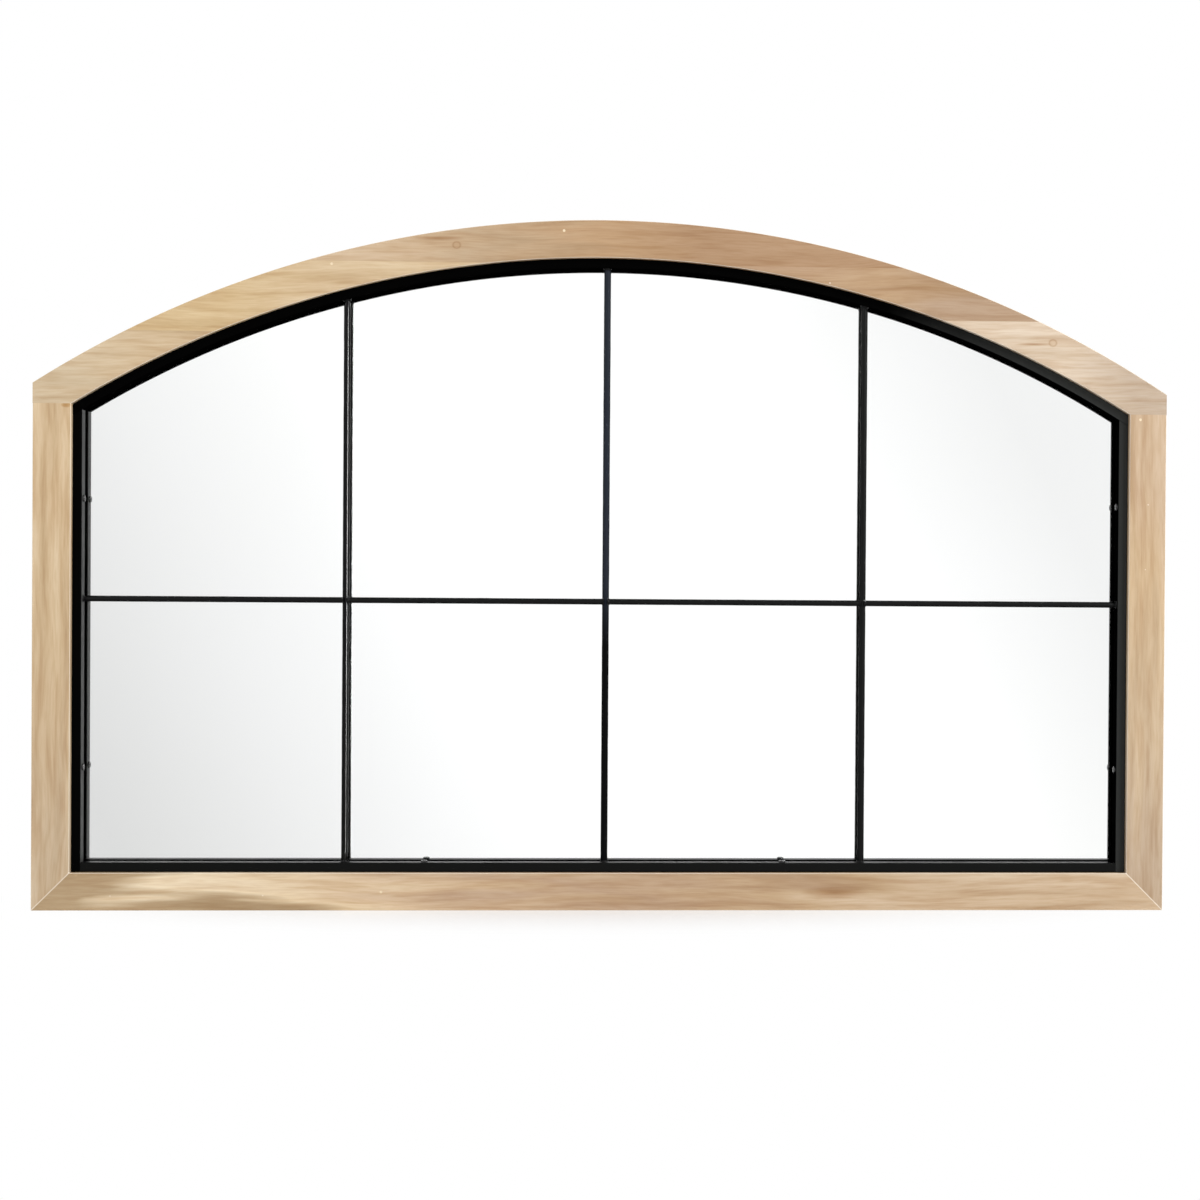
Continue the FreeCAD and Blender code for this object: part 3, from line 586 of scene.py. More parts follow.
def clear_glass():
    """Float glass, which gives a faint second reflection in front of the silver's."""
    material, tree = new_material("clear float glass")
    place = add(tree, "ShaderNodeTexCoord").outputs["Object"]
    haze = add(tree, "ShaderNodeTexNoise", {"Vector": place, "Scale": 3.0, "Detail": 1.0})
    colour = ramp(tree, haze.outputs["Fac"], [(0.3, "#fdfefd"), (0.7, "#feffff")])
    shader = add(tree, "ShaderNodeBsdfPrincipled",
                 {"Base Color": colour, "Roughness": 0.0, "IOR": 1.52,
                  "Transmission Weight": 1.0})
    close(tree, shader)
    return material


# ------------------------------------------------------------------ steel grille

BAR_ARRIS = 0.5 * MM
TAPE_EDGE = 0.3 * MM
# The side bars stop this far under the arch bar.
ARCH_SEAM = 0.2 * MM
# The bottom bar is swept this much too long at both ends and then sawn.
SPARE = 10 * MM


def bar_ring(prefix, front, back, arris):
    """Arch, left, right and bottom pieces of one ring of 8 mm bars."""
    ring = {}
    arch = bent_bar(section(prefix + "_arch", ARCH_CENTRE + PANE_RADIUS, BAR_FACE, front, back,
                            arris))
    end = INNER_HALF - GRILLE_PLAY
    ring["arch"] = cut_to_length(arch, [((end, 0, 0), RIGHT, True), ((-end, 0, 0), LEFT, True)])
    foot = PANE_FLOOR - BAR_FACE
    corner = math.sqrt(PANE_RADIUS ** 2 - PANE_HALF ** 2)
    top = ARCH_CENTRE + corner - ARCH_SEAM
    slope = PANE_HALF / corner
    for side, angle, way in (("left", -90, -1), ("right", 90, 1)):
        piece = straight_bar(section(prefix + "_" + side, 0, BAR_FACE, front, back, arris),
                             UNCUT_SIDE)
        put(piece, spin_about_y(math.radians(angle), x=way * PANE_HALF))
        ring[side] = cut_to_length(piece, [((way * PANE_HALF, 0, top), (way * slope, 0, 1), True),
                                           ((0, 0, foot), DOWN, True)])
    piece = straight_bar(section(prefix + "_bottom", 0, BAR_FACE, front, back, arris),
                         PANE_HALF + SPARE)
    put(piece, spin_about_y(math.pi, z=PANE_FLOOR))
    ring["bottom"] = cut_to_length(piece, [((PANE_HALF, 0, 0), RIGHT, True),
                                           ((-PANE_HALF, 0, 0), LEFT, True)])
    return ring


# ------------------------------------------------------------------ mirror glass


def arched_pane(name, half, floor, radius, front, back, edge):
    """A flat arched sheet: a disc cut to its sides and floor, thickened and edged."""
    clear_selection()
    bpy.ops.mesh.primitive_circle_add(vertices=720, radius=radius, fill_type="NGON",
                                      location=(0, front, ARCH_CENTRE),
                                      rotation=(math.pi / 2, 0, 0))
    piece = named(name)
    for point, normal in (((half, 0, 0), RIGHT), ((-half, 0, 0), LEFT), ((0, 0, floor), DOWN)):
        saw(point, normal, fill=False)
    select_all()
    extrude((0, back - front, 0))
    select_all()
    bpy.ops.mesh.normals_make_consistent(inside=False)
    pick("EDGE", lambda p: p.y < front + TOUCH)
    bpy.ops.mesh.bevel(offset=edge, segments=2, affect="EDGES")
    return close_up(piece, FLAT)


# ------------------------------------------------------------------ rods and welds

MUNTIN_RADIUS = 3 * MM
CROSS_RADIUS = 2.5 * MM
CROSS_HEIGHT = FLOOR + 273 * MM
MUNTINS = (-PANE_HALF / 2, 0.0, PANE_HALF / 2)
# The uprights run this far into the bars, so that the arch's slope shows no gap.
SUNK = 0.8 * MM
# The crossbar's lengths end this far from the uprights' axes, inside them.
OFF_AXIS = 1.6 * MM
ROD_EDGE = 0.3 * MM
WELD_LEG = 1.5 * MM


def uneven(piece, size, amount):
    """Push the surface in and out by a hair, as drawn and hand finished steel is."""
    texture = bpy.data.textures.new(piece.name + "_unevenness", "CLOUDS")
    texture.noise_scale = size
    hold(piece)
    lumps = piece.modifiers.new("unevenness", "DISPLACE")
    lumps.texture = texture
    lumps.strength = amount
    lumps.mid_level = 0.5
    lumps.texture_coords = "LOCAL"
    bpy.ops.object.modifier_apply(modifier=lumps.name)
    bpy.data.textures.remove(texture)
    return piece


def round_rod(name, radius, half_length, rings):
    """A round rod along X with slightly eased ends, divided so that it can be uneven."""
    clear_selection()
    bpy.ops.mesh.primitive_circle_add(vertices=28, radius=radius, fill_type="NGON",
                                      location=(-half_length, 0, 0),
                                      rotation=(0, math.pi / 2, 0))
    piece = named(name)
    extrude((2 * half_length, 0, 0))
    select_all()
    bpy.ops.mesh.normals_make_consistent(inside=False)
    pick("EDGE", lambda p: abs(p.x) > half_length - TOUCH)
    bpy.ops.mesh.bevel(offset=ROD_EDGE, segments=2, affect="EDGES")
    mesh = bmesh.from_edit_mesh(piece.data)
    for edge in mesh.edges:
        first, second = edge.verts
        edge.select_set(abs(first.co.x - second.co.x) > half_length)
    bmesh.update_edit_mesh(piece.data)
    bpy.ops.mesh.subdivide(number_cuts=rings)
    close_up(piece)
    return uneven(piece, 12 * MM, 0.25 * MM)


def rods():
    """Three uprights and the four lengths of the crossbar between them."""
    made = {}
    for number, x in enumerate(MUNTINS, start=1):
        top = ARCH_CENTRE + math.sqrt(PANE_RADIUS ** 2 - x ** 2) + SUNK
        bottom = PANE_FLOOR - SUNK
        rod = round_rod("muntin_%d_rod" % number, MUNTIN_RADIUS, (top - bottom) / 2, 60)
        made["muntin_%d" % number] = put(rod, spin_about_y(math.pi / 2, x=x, y=ROD_DEPTH,
                                                           z=(top + bottom) / 2))
    starts = (-PANE_HALF, *(x + OFF_AXIS for x in MUNTINS))
    ends = (*(x - OFF_AXIS for x in MUNTINS), PANE_HALF)
    for number, (left, right) in enumerate(zip(starts, ends), start=1):
        rod = round_rod("crossbar_%d_rod" % number, CROSS_RADIUS, (right - left) / 2, 24)
        made["crossbar_segment_%d" % number] = put(rod, Matrix.Translation(
            ((left + right) / 2, ROD_DEPTH, CROSS_HEIGHT)))
    return made


def weld_collar(name, radius):
    """A fillet of weld round a rod's foot, at the origin and rising along Z."""
    clear_selection()
    sunk, waist = 0.3 * MM, 0.45 * WELD_LEG
    bpy.ops.mesh.primitive_cone_add(vertices=24, radius1=radius + WELD_LEG,
                                    radius2=radius + 0.1 * MM, depth=WELD_LEG + 2 * sunk,
                                    location=(0, 0, WELD_LEG / 2 - sunk))
    piece = named(name)
    bpy.ops.mesh.bisect(plane_co=(0, 0, waist), plane_no=UP)
    pick("VERT", lambda p: abs(p.z - waist) < TOUCH)
    bpy.ops.transform.resize(value=(0.9, 0.9, 1.0))
    pick("EDGE", lambda p: abs(p.z - waist) < TOUCH)
    bpy.ops.mesh.bevel(offset=0.35 * MM, segments=3, affect="EDGES")
    select_all()
    bpy.ops.mesh.subdivide(number_cuts=1)
    close_up(piece, 60)
    return uneven(piece, 1.6 * MM, 0.7 * MM)


def weld_beads():
    """A collar at each end of the rods, and one on each side of each crossing."""
    thick = weld_collar("weld_round_muntin", MUNTIN_RADIUS)
    thin = weld_collar("weld_round_crossbar", CROSS_RADIUS)
    made = []
    for number, x in enumerate(MUNTINS, start=1):
        top = ARCH_CENTRE + math.sqrt(PANE_RADIUS ** 2 - x ** 2)
        lean = math.asin(x / PANE_RADIUS)
        made.append(copy_of(thick, "weld_muntin_%d_foot" % number, spin_about_y(
            0, x=x, y=ROD_DEPTH, z=PANE_FLOOR)))
        made.append(copy_of(thick, "weld_muntin_%d_head" % number, spin_about_y(
            math.pi + lean, x=x, y=ROD_DEPTH, z=top)))
        for side, way in (("left", -1), ("right", 1)):
            made.append(copy_of(thin, "weld_crossing_%d_%s" % (number, side), spin_about_y(
                way * math.pi / 2, x=x + way * MUNTIN_RADIUS * 0.7, y=ROD_DEPTH,
                z=CROSS_HEIGHT)))
    for side, way in (("left", -1), ("right", 1)):
        made.append(copy_of(thin, "weld_crossbar_" + side, spin_about_y(
            -way * math.pi / 2, x=way * PANE_HALF, y=ROD_DEPTH, z=CROSS_HEIGHT)))
    throw_away(thick, thin)
    return made


# ------------------------------------------------------------------ fasteners


def pan_screw(name, shank, length, head, height):
    """A cross recessed pan head screw at the origin, its head above and its point below."""
    clear_selection()
    bpy.ops.mesh.primitive_cylinder_add(vertices=32, radius=head / 2, depth=height,
                                        location=(0, 0, height / 2))
    piece = named(name)
    pick("EDGE", lambda p: p.z > height - TOUCH)
    bpy.ops.mesh.bevel(offset=height * 0.62, segments=6, profile=0.55, affect="EDGES")
    pick("FACE", lambda p: p.z < TOUCH)
    bpy.ops.mesh.inset(thickness=(head - shank) / 2)
    # The last fifth of the shank is its point.
    extrude((0, 0, -length * 0.8))
    extrude((0, 0, -length * 0.2))
    bpy.ops.transform.resize(value=(0.12, 0.12, 1))
    close_up(piece)
    # Two crossed blades, narrower at the foot, cut the recess.
    cutters = []
    for turn in (0, 90):
        clear_selection()
        bpy.ops.mesh.primitive_cube_add(size=1, location=(0, 0, height),
                                        rotation=(0, 0, math.radians(turn)))
        blade = named(name + "_blade", (head * 0.56, head * 0.13, height * 1.1))
        pick("VERT", lambda p: p.z < height)
        bpy.ops.transform.resize(value=(0.45, 0.45, 1))
        close_up(blade)
        cutters.append(blade)
    return carve(piece, cutters)


def along_y(x, y, z, turn=0.0):
    """A place that turns what stands along Z to stand along Y, away from the face."""
    return (Matrix.Translation((x, y, z)) @ Matrix.Rotation(-math.pi / 2, 4, "X")
            @ Matrix.Rotation(turn, 4, "Z"))


def grille_screws():
    """Two screws through each side bar and the bottom bar, each turned its own way."""
    master = pan_screw("grille_screw", shank=3 * MM, length=22 * MM, head=6 * MM,
                       height=1.6 * MM)
    depth = (BAR_FRONT + BAR_BACK) / 2
    low, high, apart = FLOOR + 125 * MM, FLOOR + 361 * MM, 2 * 159 * MM
    places = []
    for tag, z in (("low", low), ("high", high)):
        places.append(("left_" + tag, -PANE_HALF, z, 90))
        places.append(("right_" + tag, PANE_HALF, z, 270))
    for tag, x in (("left", -apart / 2), ("right", apart / 2)):
        places.append(("rail_" + tag, x, PANE_FLOOR, 0))
    made = [copy_of(master, "grille_screw_" + tag,
                    spin_about_y(math.radians(angle), x=x, y=depth, z=z)
                    @ Matrix.Rotation(0.6 * number, 4, "Z"))
            for number, (tag, x, z, angle) in enumerate(places)]
    throw_away(master)
    return made


FILLER_DEPTH = 1.5 * MM
FILLER_RADIUS = 1.2 * MM
# A plug is this much wider than its hole, so that no gap shows, and this far below the face.
FILLER_CREEP = 0.02 * MM
FILLER_SUNK = 0.03 * MM


def filler_places():
    """X and Z of the filled brad holes: two in the arch, one in a stile, one in the rail."""
    arc = OUTER_RADIUS - 9 * MM
    shoulder, crown = -241.7 * MM, -38.5 * MM
    return [(shoulder, ARCH_CENTRE + math.sqrt(arc ** 2 - shoulder ** 2)),
            (crown, ARCH_CENTRE + math.sqrt(arc ** 2 - crown ** 2)),
            (INNER_HALF + 9.5 * MM, JOINT - 4.5 * MM),
            (-195.7 * MM, FLOOR + FACE_WIDTH / 2)]


def filler_hole(name, x, z):
    clear_selection()
    bpy.ops.mesh.primitive_cylinder_add(vertices=24, radius=FILLER_RADIUS,
                                        depth=2 * FILLER_DEPTH, location=(x, FRONT, z),
                                        rotation=(math.pi / 2, 0, 0))
    return close_up(named(name))


def filler_plug(name, x, z):
    """A dab of filler a hair below the wood, dished where it shrank."""
    clear_selection()
    face = FRONT + FILLER_SUNK
    bpy.ops.mesh.primitive_cylinder_add(vertices=24, radius=FILLER_RADIUS + FILLER_CREEP,
                                        depth=FILLER_DEPTH,
                                        location=(x, face + FILLER_DEPTH / 2, z),
                                        rotation=(math.pi / 2, 0, 0))
    piece = named(name)
    pick("FACE", lambda p: p.y < face + TOUCH)
    bpy.ops.mesh.inset(thickness=0.3 * MM)
    bpy.ops.transform.translate(value=(0, 0.08 * MM, 0))
    bpy.ops.mesh.inset(thickness=0.5 * MM)
    bpy.ops.transform.translate(value=(0, 0.07 * MM, 0))
    return close_up(piece)


def v_nails():
    """Bent steel strips pressed across the mitres from behind, just proud of the wood."""
    leg, thick, depth, proud = 6 * MM, 0.5 * MM, 10 * MM, 0.05 * MM
    first, spacing = 6 * MM, 10 * MM
    made = []
    for tag, reach in (("outer", first), ("inner", first + spacing)):
        for side, way in (("left", -1), ("right", 1)):
            x = way * (HALF_WIDTH - reach)
            z = FLOOR + reach
            clear_selection()
            bpy.ops.mesh.primitive_cube_add(size=1, location=(x - way * thick / 2,
                                                              BACK - depth / 2 + proud,
                                                              z + thick / 2))
            piece = named("v_nail_%s_%s" % (side, tag), (thick, depth, thick))
            edge = x - way * thick
            pick("FACE", lambda p: abs(p.x - edge) < TOUCH)
            extrude((-way * (leg - thick), 0, 0))
            pick("FACE", lambda p: p.z > z + thick - TOUCH and abs(p.x - x) < thick + TOUCH)
            extrude((0, 0, leg - thick))
            made.append(close_up(piece, 30))
    return made


# ------------------------------------------------------------------ hardware on the back

BUTTON_THICK = 1.5 * MM
# Buttons, straps and bumpers all sit this far in from the outer edge of the wood.
EDGE = 12.5 * MM
BUTTON_ARC = OUTER_RADIUS - EDGE
# A button lies this far off the wood, and its screw's head as far off the button.
BUTTON_PLAY = 0.1 * MM


def turn_button_master():
    """A stamped clip with round ends, pointing up, its pivot at the origin."""
    clear_selection()
    width, reach, pivot_radius = 9 * MM, 15 * MM, 1.8 * MM
    bpy.ops.mesh.primitive_circle_add(vertices=48, radius=width / 2, fill_type="NGON",
                                      rotation=(math.pi / 2, 0, 0))
    piece = named("turn_button")
    pick("VERT", lambda p: p.z > -TOUCH)
    bpy.ops.transform.translate(value=(0, 0, reach))
    select_all()
    extrude((0, BUTTON_THICK, 0))
    select_all()
    bpy.ops.mesh.normals_make_consistent(inside=False)
    mesh = bmesh.from_edit_mesh(piece.data)
    for edge in mesh.edges:
        edge.select_set(abs(edge.verts[0].co.y - edge.verts[1].co.y) < TOUCH)
    bmesh.update_edit_mesh(piece.data)
    bpy.ops.mesh.bevel(offset=0.3 * MM, segments=3, affect="EDGES")
    close_up(piece)
    clear_selection()
    bpy.ops.mesh.primitive_cylinder_add(vertices=32, radius=pivot_radius,
                                        depth=4 * BUTTON_THICK, rotation=(math.pi / 2, 0, 0))
    hole = close_up(named("pivot_hole"))
    return carve(piece, [hole])


def button_places():
    """Name, X, Z and turn of each button: on the rail, the arch and the stiles."""
    on_rail, on_arch = 320 * MM, 309 * MM
    low, high = FLOOR + 130 * MM, FLOOR + 320 * MM
    lean = math.asin(on_arch / BUTTON_ARC)
    places = []
    for tag, way in (("left", -1), ("middle", 0), ("right", 1)):
        places.append(("rail_" + tag, way * on_rail, FLOOR + EDGE, 0.0))
        places.append(("arch_" + tag, way * on_arch,
                       ARCH_CENTRE + BUTTON_ARC * math.cos(way * lean), math.pi + way * lean))
    for side, way in (("left", -1), ("right", 1)):
        for tag, z in (("low", low), ("high", high)):
            places.append(("%s_%s" % (side, tag), way * (HALF_WIDTH - EDGE), z,
                           -way * math.pi / 2))
    return places


# Depth and height of the line that a ring turns on, in its strap's eye.
EYE = Vector((0, -2.7 * MM, -9.8 * MM))
STRAP_THICK = 1 * MM


def hanger_strap(name, x):
    """A steel strap, round at its foot, rolled into an eye round the ring."""
    clear_selection()
    width, length, edge = 12 * MM, 33 * MM, 0.2 * MM
    bpy.ops.mesh.primitive_plane_add(size=1, location=(x, BACK + STRAP_THICK / 2, EYE.z))
    piece = named(name, (width, STRAP_THICK, 1))
    bpy.ops.mesh.bevel(offset=edge, segments=2, affect="VERTICES")
    select_all()
    bpy.ops.mesh.delete(type="ONLY_FACE")
    select_all()
    extrude((0, 0, width / 2 - length))
    # The round foot, narrowed step by step.
    last, steps = 0.0, 9
    for step in range(1, steps + 1):
        turn = math.radians(86) * step / steps
        extrude((0, 0, -width / 2 * (math.sin(turn) - math.sin(last))))
        bpy.ops.transform.resize(value=(math.cos(turn) / math.cos(last), 1, 1))
        last = turn
    bpy.ops.mesh.edge_face_add()
    pick("VERT", lambda p: p.z > EYE.z - TOUCH)
    bpy.ops.mesh.spin(steps=24, angle=math.radians(300), center=(x, EYE.y, EYE.z), axis=RIGHT)
    bpy.ops.mesh.edge_face_add()
    return close_up(piece)


def hanger_ring(name, x):
    """A D shaped ring of round wire: a straight bar, two small bends and a wide bow."""
    clear_selection()
    half_bar, corner, wire_radius = 7 * MM, 2 * MM, 1.2 * MM
    low = EYE.z - corner
    bpy.ops.mesh.primitive_circle_add(vertices=20, radius=wire_radius,
                                      location=(x - half_bar, EYE.y, EYE.z),
                                      rotation=(0, math.pi / 2, 0))
    piece = named(name)
    extrude((2 * half_bar, 0, 0))
    pick("VERT", lambda p: p.x > x + half_bar - TOUCH)
    bpy.ops.mesh.spin(steps=8, angle=math.pi / 2, center=(x + half_bar, EYE.y, low),
                      axis=CLOCKWISE)
    pick("VERT", lambda p: abs(p.z - low) < TOUCH and p.x > x)
    bpy.ops.mesh.spin(steps=36, angle=math.pi, center=(x, EYE.y, low), axis=CLOCKWISE)
    pick("VERT", lambda p: abs(p.z - low) < TOUCH and p.x < x)
    bpy.ops.mesh.spin(steps=8, angle=math.pi / 2, center=(x - half_bar, EYE.y, low),
                      axis=CLOCKWISE)
    return close_up(piece)


def wall_bumper(name, x, z):
    """A moulded rubber foot with a rounded rim and a shallow dimple."""
    clear_selection()
    root, tip, rim, lip, dimple = 5 * MM, 4.3 * MM, 0.7 * MM, 1.4 * MM, 0.5 * MM
    bpy.ops.mesh.primitive_cone_add(vertices=40, radius1=root, radius2=tip, depth=-BACK,
                                    location=(x, BACK / 2, z), rotation=(-math.pi / 2, 0, 0))
    piece = named(name)
    pick("EDGE", lambda p: p.y > -TOUCH)
    bpy.ops.mesh.bevel(offset=rim, segments=4, affect="EDGES")
    pick("FACE", lambda p: p.y > -TOUCH)
    bpy.ops.mesh.inset(thickness=lip)
    bpy.ops.transform.translate(value=(0, -dimple, 0))
    return close_up(piece)


# ------------------------------------------------------------------ make the pieces

# Gives the deep black face of the bottom bar and the grey sheen of its upper side.
satin = black_paint("satin black paint, bottom bar", "X",
                    [(-0.45, "#060706"), (0.4, "#0b0c0b")], 0.09, 0.34)
# Gives the left bar its dead black face, and painted light on its inner side: a pale grey wall
# colour where that side faces the light.
dense = black_paint("satin black paint, left bar", "X",
                    [(-0.46, "#010101"), (-0.4, "#020202")], 0.02, 0.34, wall="#464746")
# Gives the arch no shine at all, and the right bar a soft grey face that is a painted sheen, its
# sides left black.
matt = black_paint("matt black paint, arch and right bar", "X",
                   [(0.26, "#040404"), (0.38, "#2b2c2b"), (0.46, "#303130")], 0.0, 0.7)
# Gives the left rod the thin pale line down its right side.
shiny = black_paint("gloss black paint, left rod", "Z",
                    [(-0.4, "#020202"), (0.1, "#030304")], 0.12, 0.2)
# Gives the right rod, the crossbar and the welds a dim sheen without a hard line.
glossy = black_paint("semi gloss black paint, rods and welds", "Z",
                     [(-0.4, "#050505"), (0.1, "#070808")], 0.14, 0.42)
# Gives the upper half of the centre rod a painted reflection: a flat blue grey above the
# crossbar, black below it.
centre_rod_painted_reflection = black_paint("semi gloss black paint, hazy above the crossbar", "Z",
                   [(-0.19, "#030405"), (-0.13, "#23272f"), (0.1, "#252931")], 0.05, 0.42,
                   front_limit=0.5)
# Gives the screw heads a harder shine than the paint round them.
blacked = black_paint("black oxide screws", "Z", [(-0.4, "#090909"), (0.1, "#0c0c0c")], 0.7, 0.25)
STEEL = {"arch": matt, "right": matt, "left": dense, "bottom": satin}
ROD_PAINT = {"muntin_1": shiny, "muntin_2": centre_rod_painted_reflection}
# Gives the black gap between bar and glass, without any shine.
foam = plain_grained("closed cell foam tape, black", "#020202", "#060606", 0.9 * MM, 0.95,
                     gloss=0.0)
# Gives the back its even brown with fine dark flecks.
hardboard = plain_grained("hardboard, smooth face", "#5b3f29", "#76543a", 1.6 * MM, 0.65)
# Gives the back fittings a dull white shine.
zinc = plain_grained("zinc plated steel", "#9fa3a6", "#c4c6c6", 2.5 * MM, 0.34, metallic=1.0)
# Gives the hanging rings a brighter and warmer shine than the straps.
nickel = plain_grained("nickel plated wire", "#b9b4ab", "#cfcac2", 3.0 * MM, 0.22, metallic=1.0)
# Gives the wall feet a dull near black.
rubber = plain_grained("moulded rubber, dark grey", "#1c1c1d", "#2b2b2c", 0.8 * MM, 0.75)
# Gives the filled brad holes their faint pale dots.
putty = plain_grained("wood filler, pale", "#dcc8a6", "#e8d6b8", 0.7 * MM, 0.8)
# Gives the dowels, where they can be seen, a pinker tone than the boards.
beech = plain_grained("beech dowel", "#c79e6f", "#d9b587", 1.5 * MM, 0.6)

# Waxed pine, board by board: each has its own grain, tone and marks, so that the seams
# between the boards show.
BOARDS = {
    # name: grain axis, span along it, tones from one end to the other, seed, marks, flecks
    "left_stile": ("Z", (-0.435, 0.01), [(0.14, "#cfbca2"), (0.31, "#ccb698"), (0.6, "#ceb796"),
                                         (0.88, "#d7c1a1")], 3.1,
                   [("glue", -471, 7, 5, 2.5)]),
    "right_stile": ("Z", (-0.435, 0.01), [(0.14, "#beaa94"), (0.38, "#c6b196"),
                                          (0.64, "#d0b99a"), (0.86, "#c7b096")], 5.7, [],
                    [(484, -72, 0.8), (482, -130, 0.6)]),
    "bottom_rail": ("X", (-0.5, 0.5), [(0.12, "#b9a384"), (0.21, "#ecdbbe"), (0.35, "#d8c1a4"),
                                       (0.5, "#bfa58c"), (0.68, "#c4ab8c"), (0.86, "#cdb89e")],
                    7.3, [("dark grain", 205, -419, 32, 7)],
                    [(-298.9, -421.7, 0.8), (-431.4, -422.1, 0.7)]),
    "left_foot_board": ("X", (-0.5, -0.34), [(0.2, "#d7c7ad"), (0.6, "#d0bb9c")], 11.9),
    "left_shoulder_board": ("X", (-0.42, -0.1), [(0.27, "#d5be97"), (0.54, "#d6c1a1")], 13.3),
    "crown_board": ("X", (-0.27, 0.27), [(0.17, "#ceb79b"), (0.32, "#bda68a"), (0.49, "#bd9f7e"),
                                         (0.68, "#ad8e70")], 17.7,
                    [("knot", -132.7, 151.1, 4.5, 4.0), ("dark grain", -150, 157, 26, 2.5)]),
    "right_shoulder_board": ("X", (0.1, 0.39), [(0.28, "#b09276"), (0.51, "#ba9e7f"),
                                                (0.76, "#b0977f")], 19.1, [],
                             [(197, 122.1, 1.0)]),
    "right_foot_board": ("X", (0.3, 0.5), [(0.53, "#d8c9b7"), (0.85, "#c0b09f")], 23.9,
                         [("knot", 396.9, 71.4, 4.5, 4.0), ("dark grain", 380, 70, 18, 1.5)]),
}

boards = {**arch_boards(), **straight_boards()}
for label, (x, z) in zip(("left_shoulder_board", "crown_board", "right_stile", "bottom_rail"),
                         filler_places()):
    carve(boards[label], [filler_hole(label + "_filler_hole", x, z)], FLAT)
for label, piece in boards.items():
    finish(piece, "frame", label, pine("waxed pine, " + label, *BOARDS[label]))

ring = bar_ring("grille", BAR_FRONT, BAR_BACK, BAR_ARRIS)
for label, piece in ring.items():
    finish(piece, "frame", "grille_%s_bar" % label, STEEL[label])

tape = bar_ring("tape", BAR_BACK, GLASS_FRONT, TAPE_EDGE)
for label, piece in tape.items():
    finish(piece, "frame", "foam_tape_" + label, foam)

glass = arched_pane("mirror_pane", INNER_HALF + REBATE - GLASS_PLAY,
                    FLOOR + FACE_WIDTH - REBATE + GLASS_PLAY,
                    INNER_RADIUS + REBATE - GLASS_PLAY, GLASS_FRONT, GLASS_BACK, GLASS_EDGE)
# The silver is on the back of the glass.
finish(glass, "frame", "mirror_glass", clear_glass())
glass.data.materials.append(silvering())
for face in glass.data.polygons:
    if face.normal.y > 0.9:
        face.material_index = 1

for label, piece in rods().items():
    finish(piece, "frame", label, ROD_PAINT.get(label, glossy))
for piece in weld_beads():
    finish(piece, "frame", "weld_beads", glossy)
for piece in grille_screws():
    finish(piece, "frame", "grille_screws", blacked)
for number, (x, z) in enumerate(filler_places(), start=1):
    finish(filler_plug("filler_plug_%d" % number, x, z), "frame", "filler_plugs",
           putty)
for piece in v_nails():
    finish(piece, "frame", "mitre_v_nails", zinc)

button = turn_button_master()
button_screw = pan_screw("button_screw", shank=3.5 * MM, length=14 * MM, head=7 * MM,
                         height=1.9 * MM)
for number, (label, x, z, angle) in enumerate(button_places()):
    plate = copy_of(button, "turn_button_%s_plate" % label,
                    spin_about_y(angle, x=x, y=BACK + BUTTON_PLAY, z=z))
    finish(plate, "button_%s" % label, "turn_button_" + label, zinc)
    screw = copy_of(button_screw, "turn_button_screw_" + label,
                    along_y(x, BACK + BUTTON_THICK + 2 * BUTTON_PLAY, z, 0.7 * number))
    finish(screw, "frame", "turn_button_screws", zinc)

strap_screw = pan_screw("strap_screw", shank=3 * MM, length=13 * MM, head=6 * MM,
                        height=1.6 * MM)
for side, way in (("left", -1), ("right", 1)):
    x = way * (HALF_WIDTH - EDGE)
    finish(hanger_strap("hanger_strap_%s_plate" % side, x), "frame", "hanger_strap_" + side,
           zinc)
    finish(hanger_ring("hanger_ring_%s_wire" % side, x), "ring_" + side, "hanger_ring_" + side,
           nickel)
    for number, drop in enumerate((16.5 * MM, 26.5 * MM)):
        screw = copy_of(strap_screw, "hanger_screw_%s_%d" % (side, number + 1),
                        along_y(x, BACK + STRAP_THICK, EYE.z - drop, 0.5 + number + way))
        finish(screw, "frame", "hanger_screws", zinc)
throw_away(button, button_screw, strap_screw)

lower, upper = HALF_WIDTH - 45 * MM, 396 * MM
bumper_height = ARCH_CENTRE + math.sqrt((OUTER_RADIUS - EDGE) ** 2 - upper ** 2)
for side, way in (("left", -1), ("right", 1)):
    for tag, x, z in (("lower", lower, FLOOR + EDGE), ("upper", upper, bumper_height)):
        finish(wall_bumper("bumper_%s_%s" % (tag, side), way * x, z), "frame",
               "wall_bumper_%s_%s" % (tag, side), rubber)

# Pieces inside the frame keep their solids' own meshes.
for name, material in (("joint_dowels", beech), ("face_brads", zinc),
                       ("backing_board", hardboard)):
    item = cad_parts[name]
    item.data.materials.clear()
    item.data.materials.append(material)

# ------------------------------------------------------------------ floor, light and camera


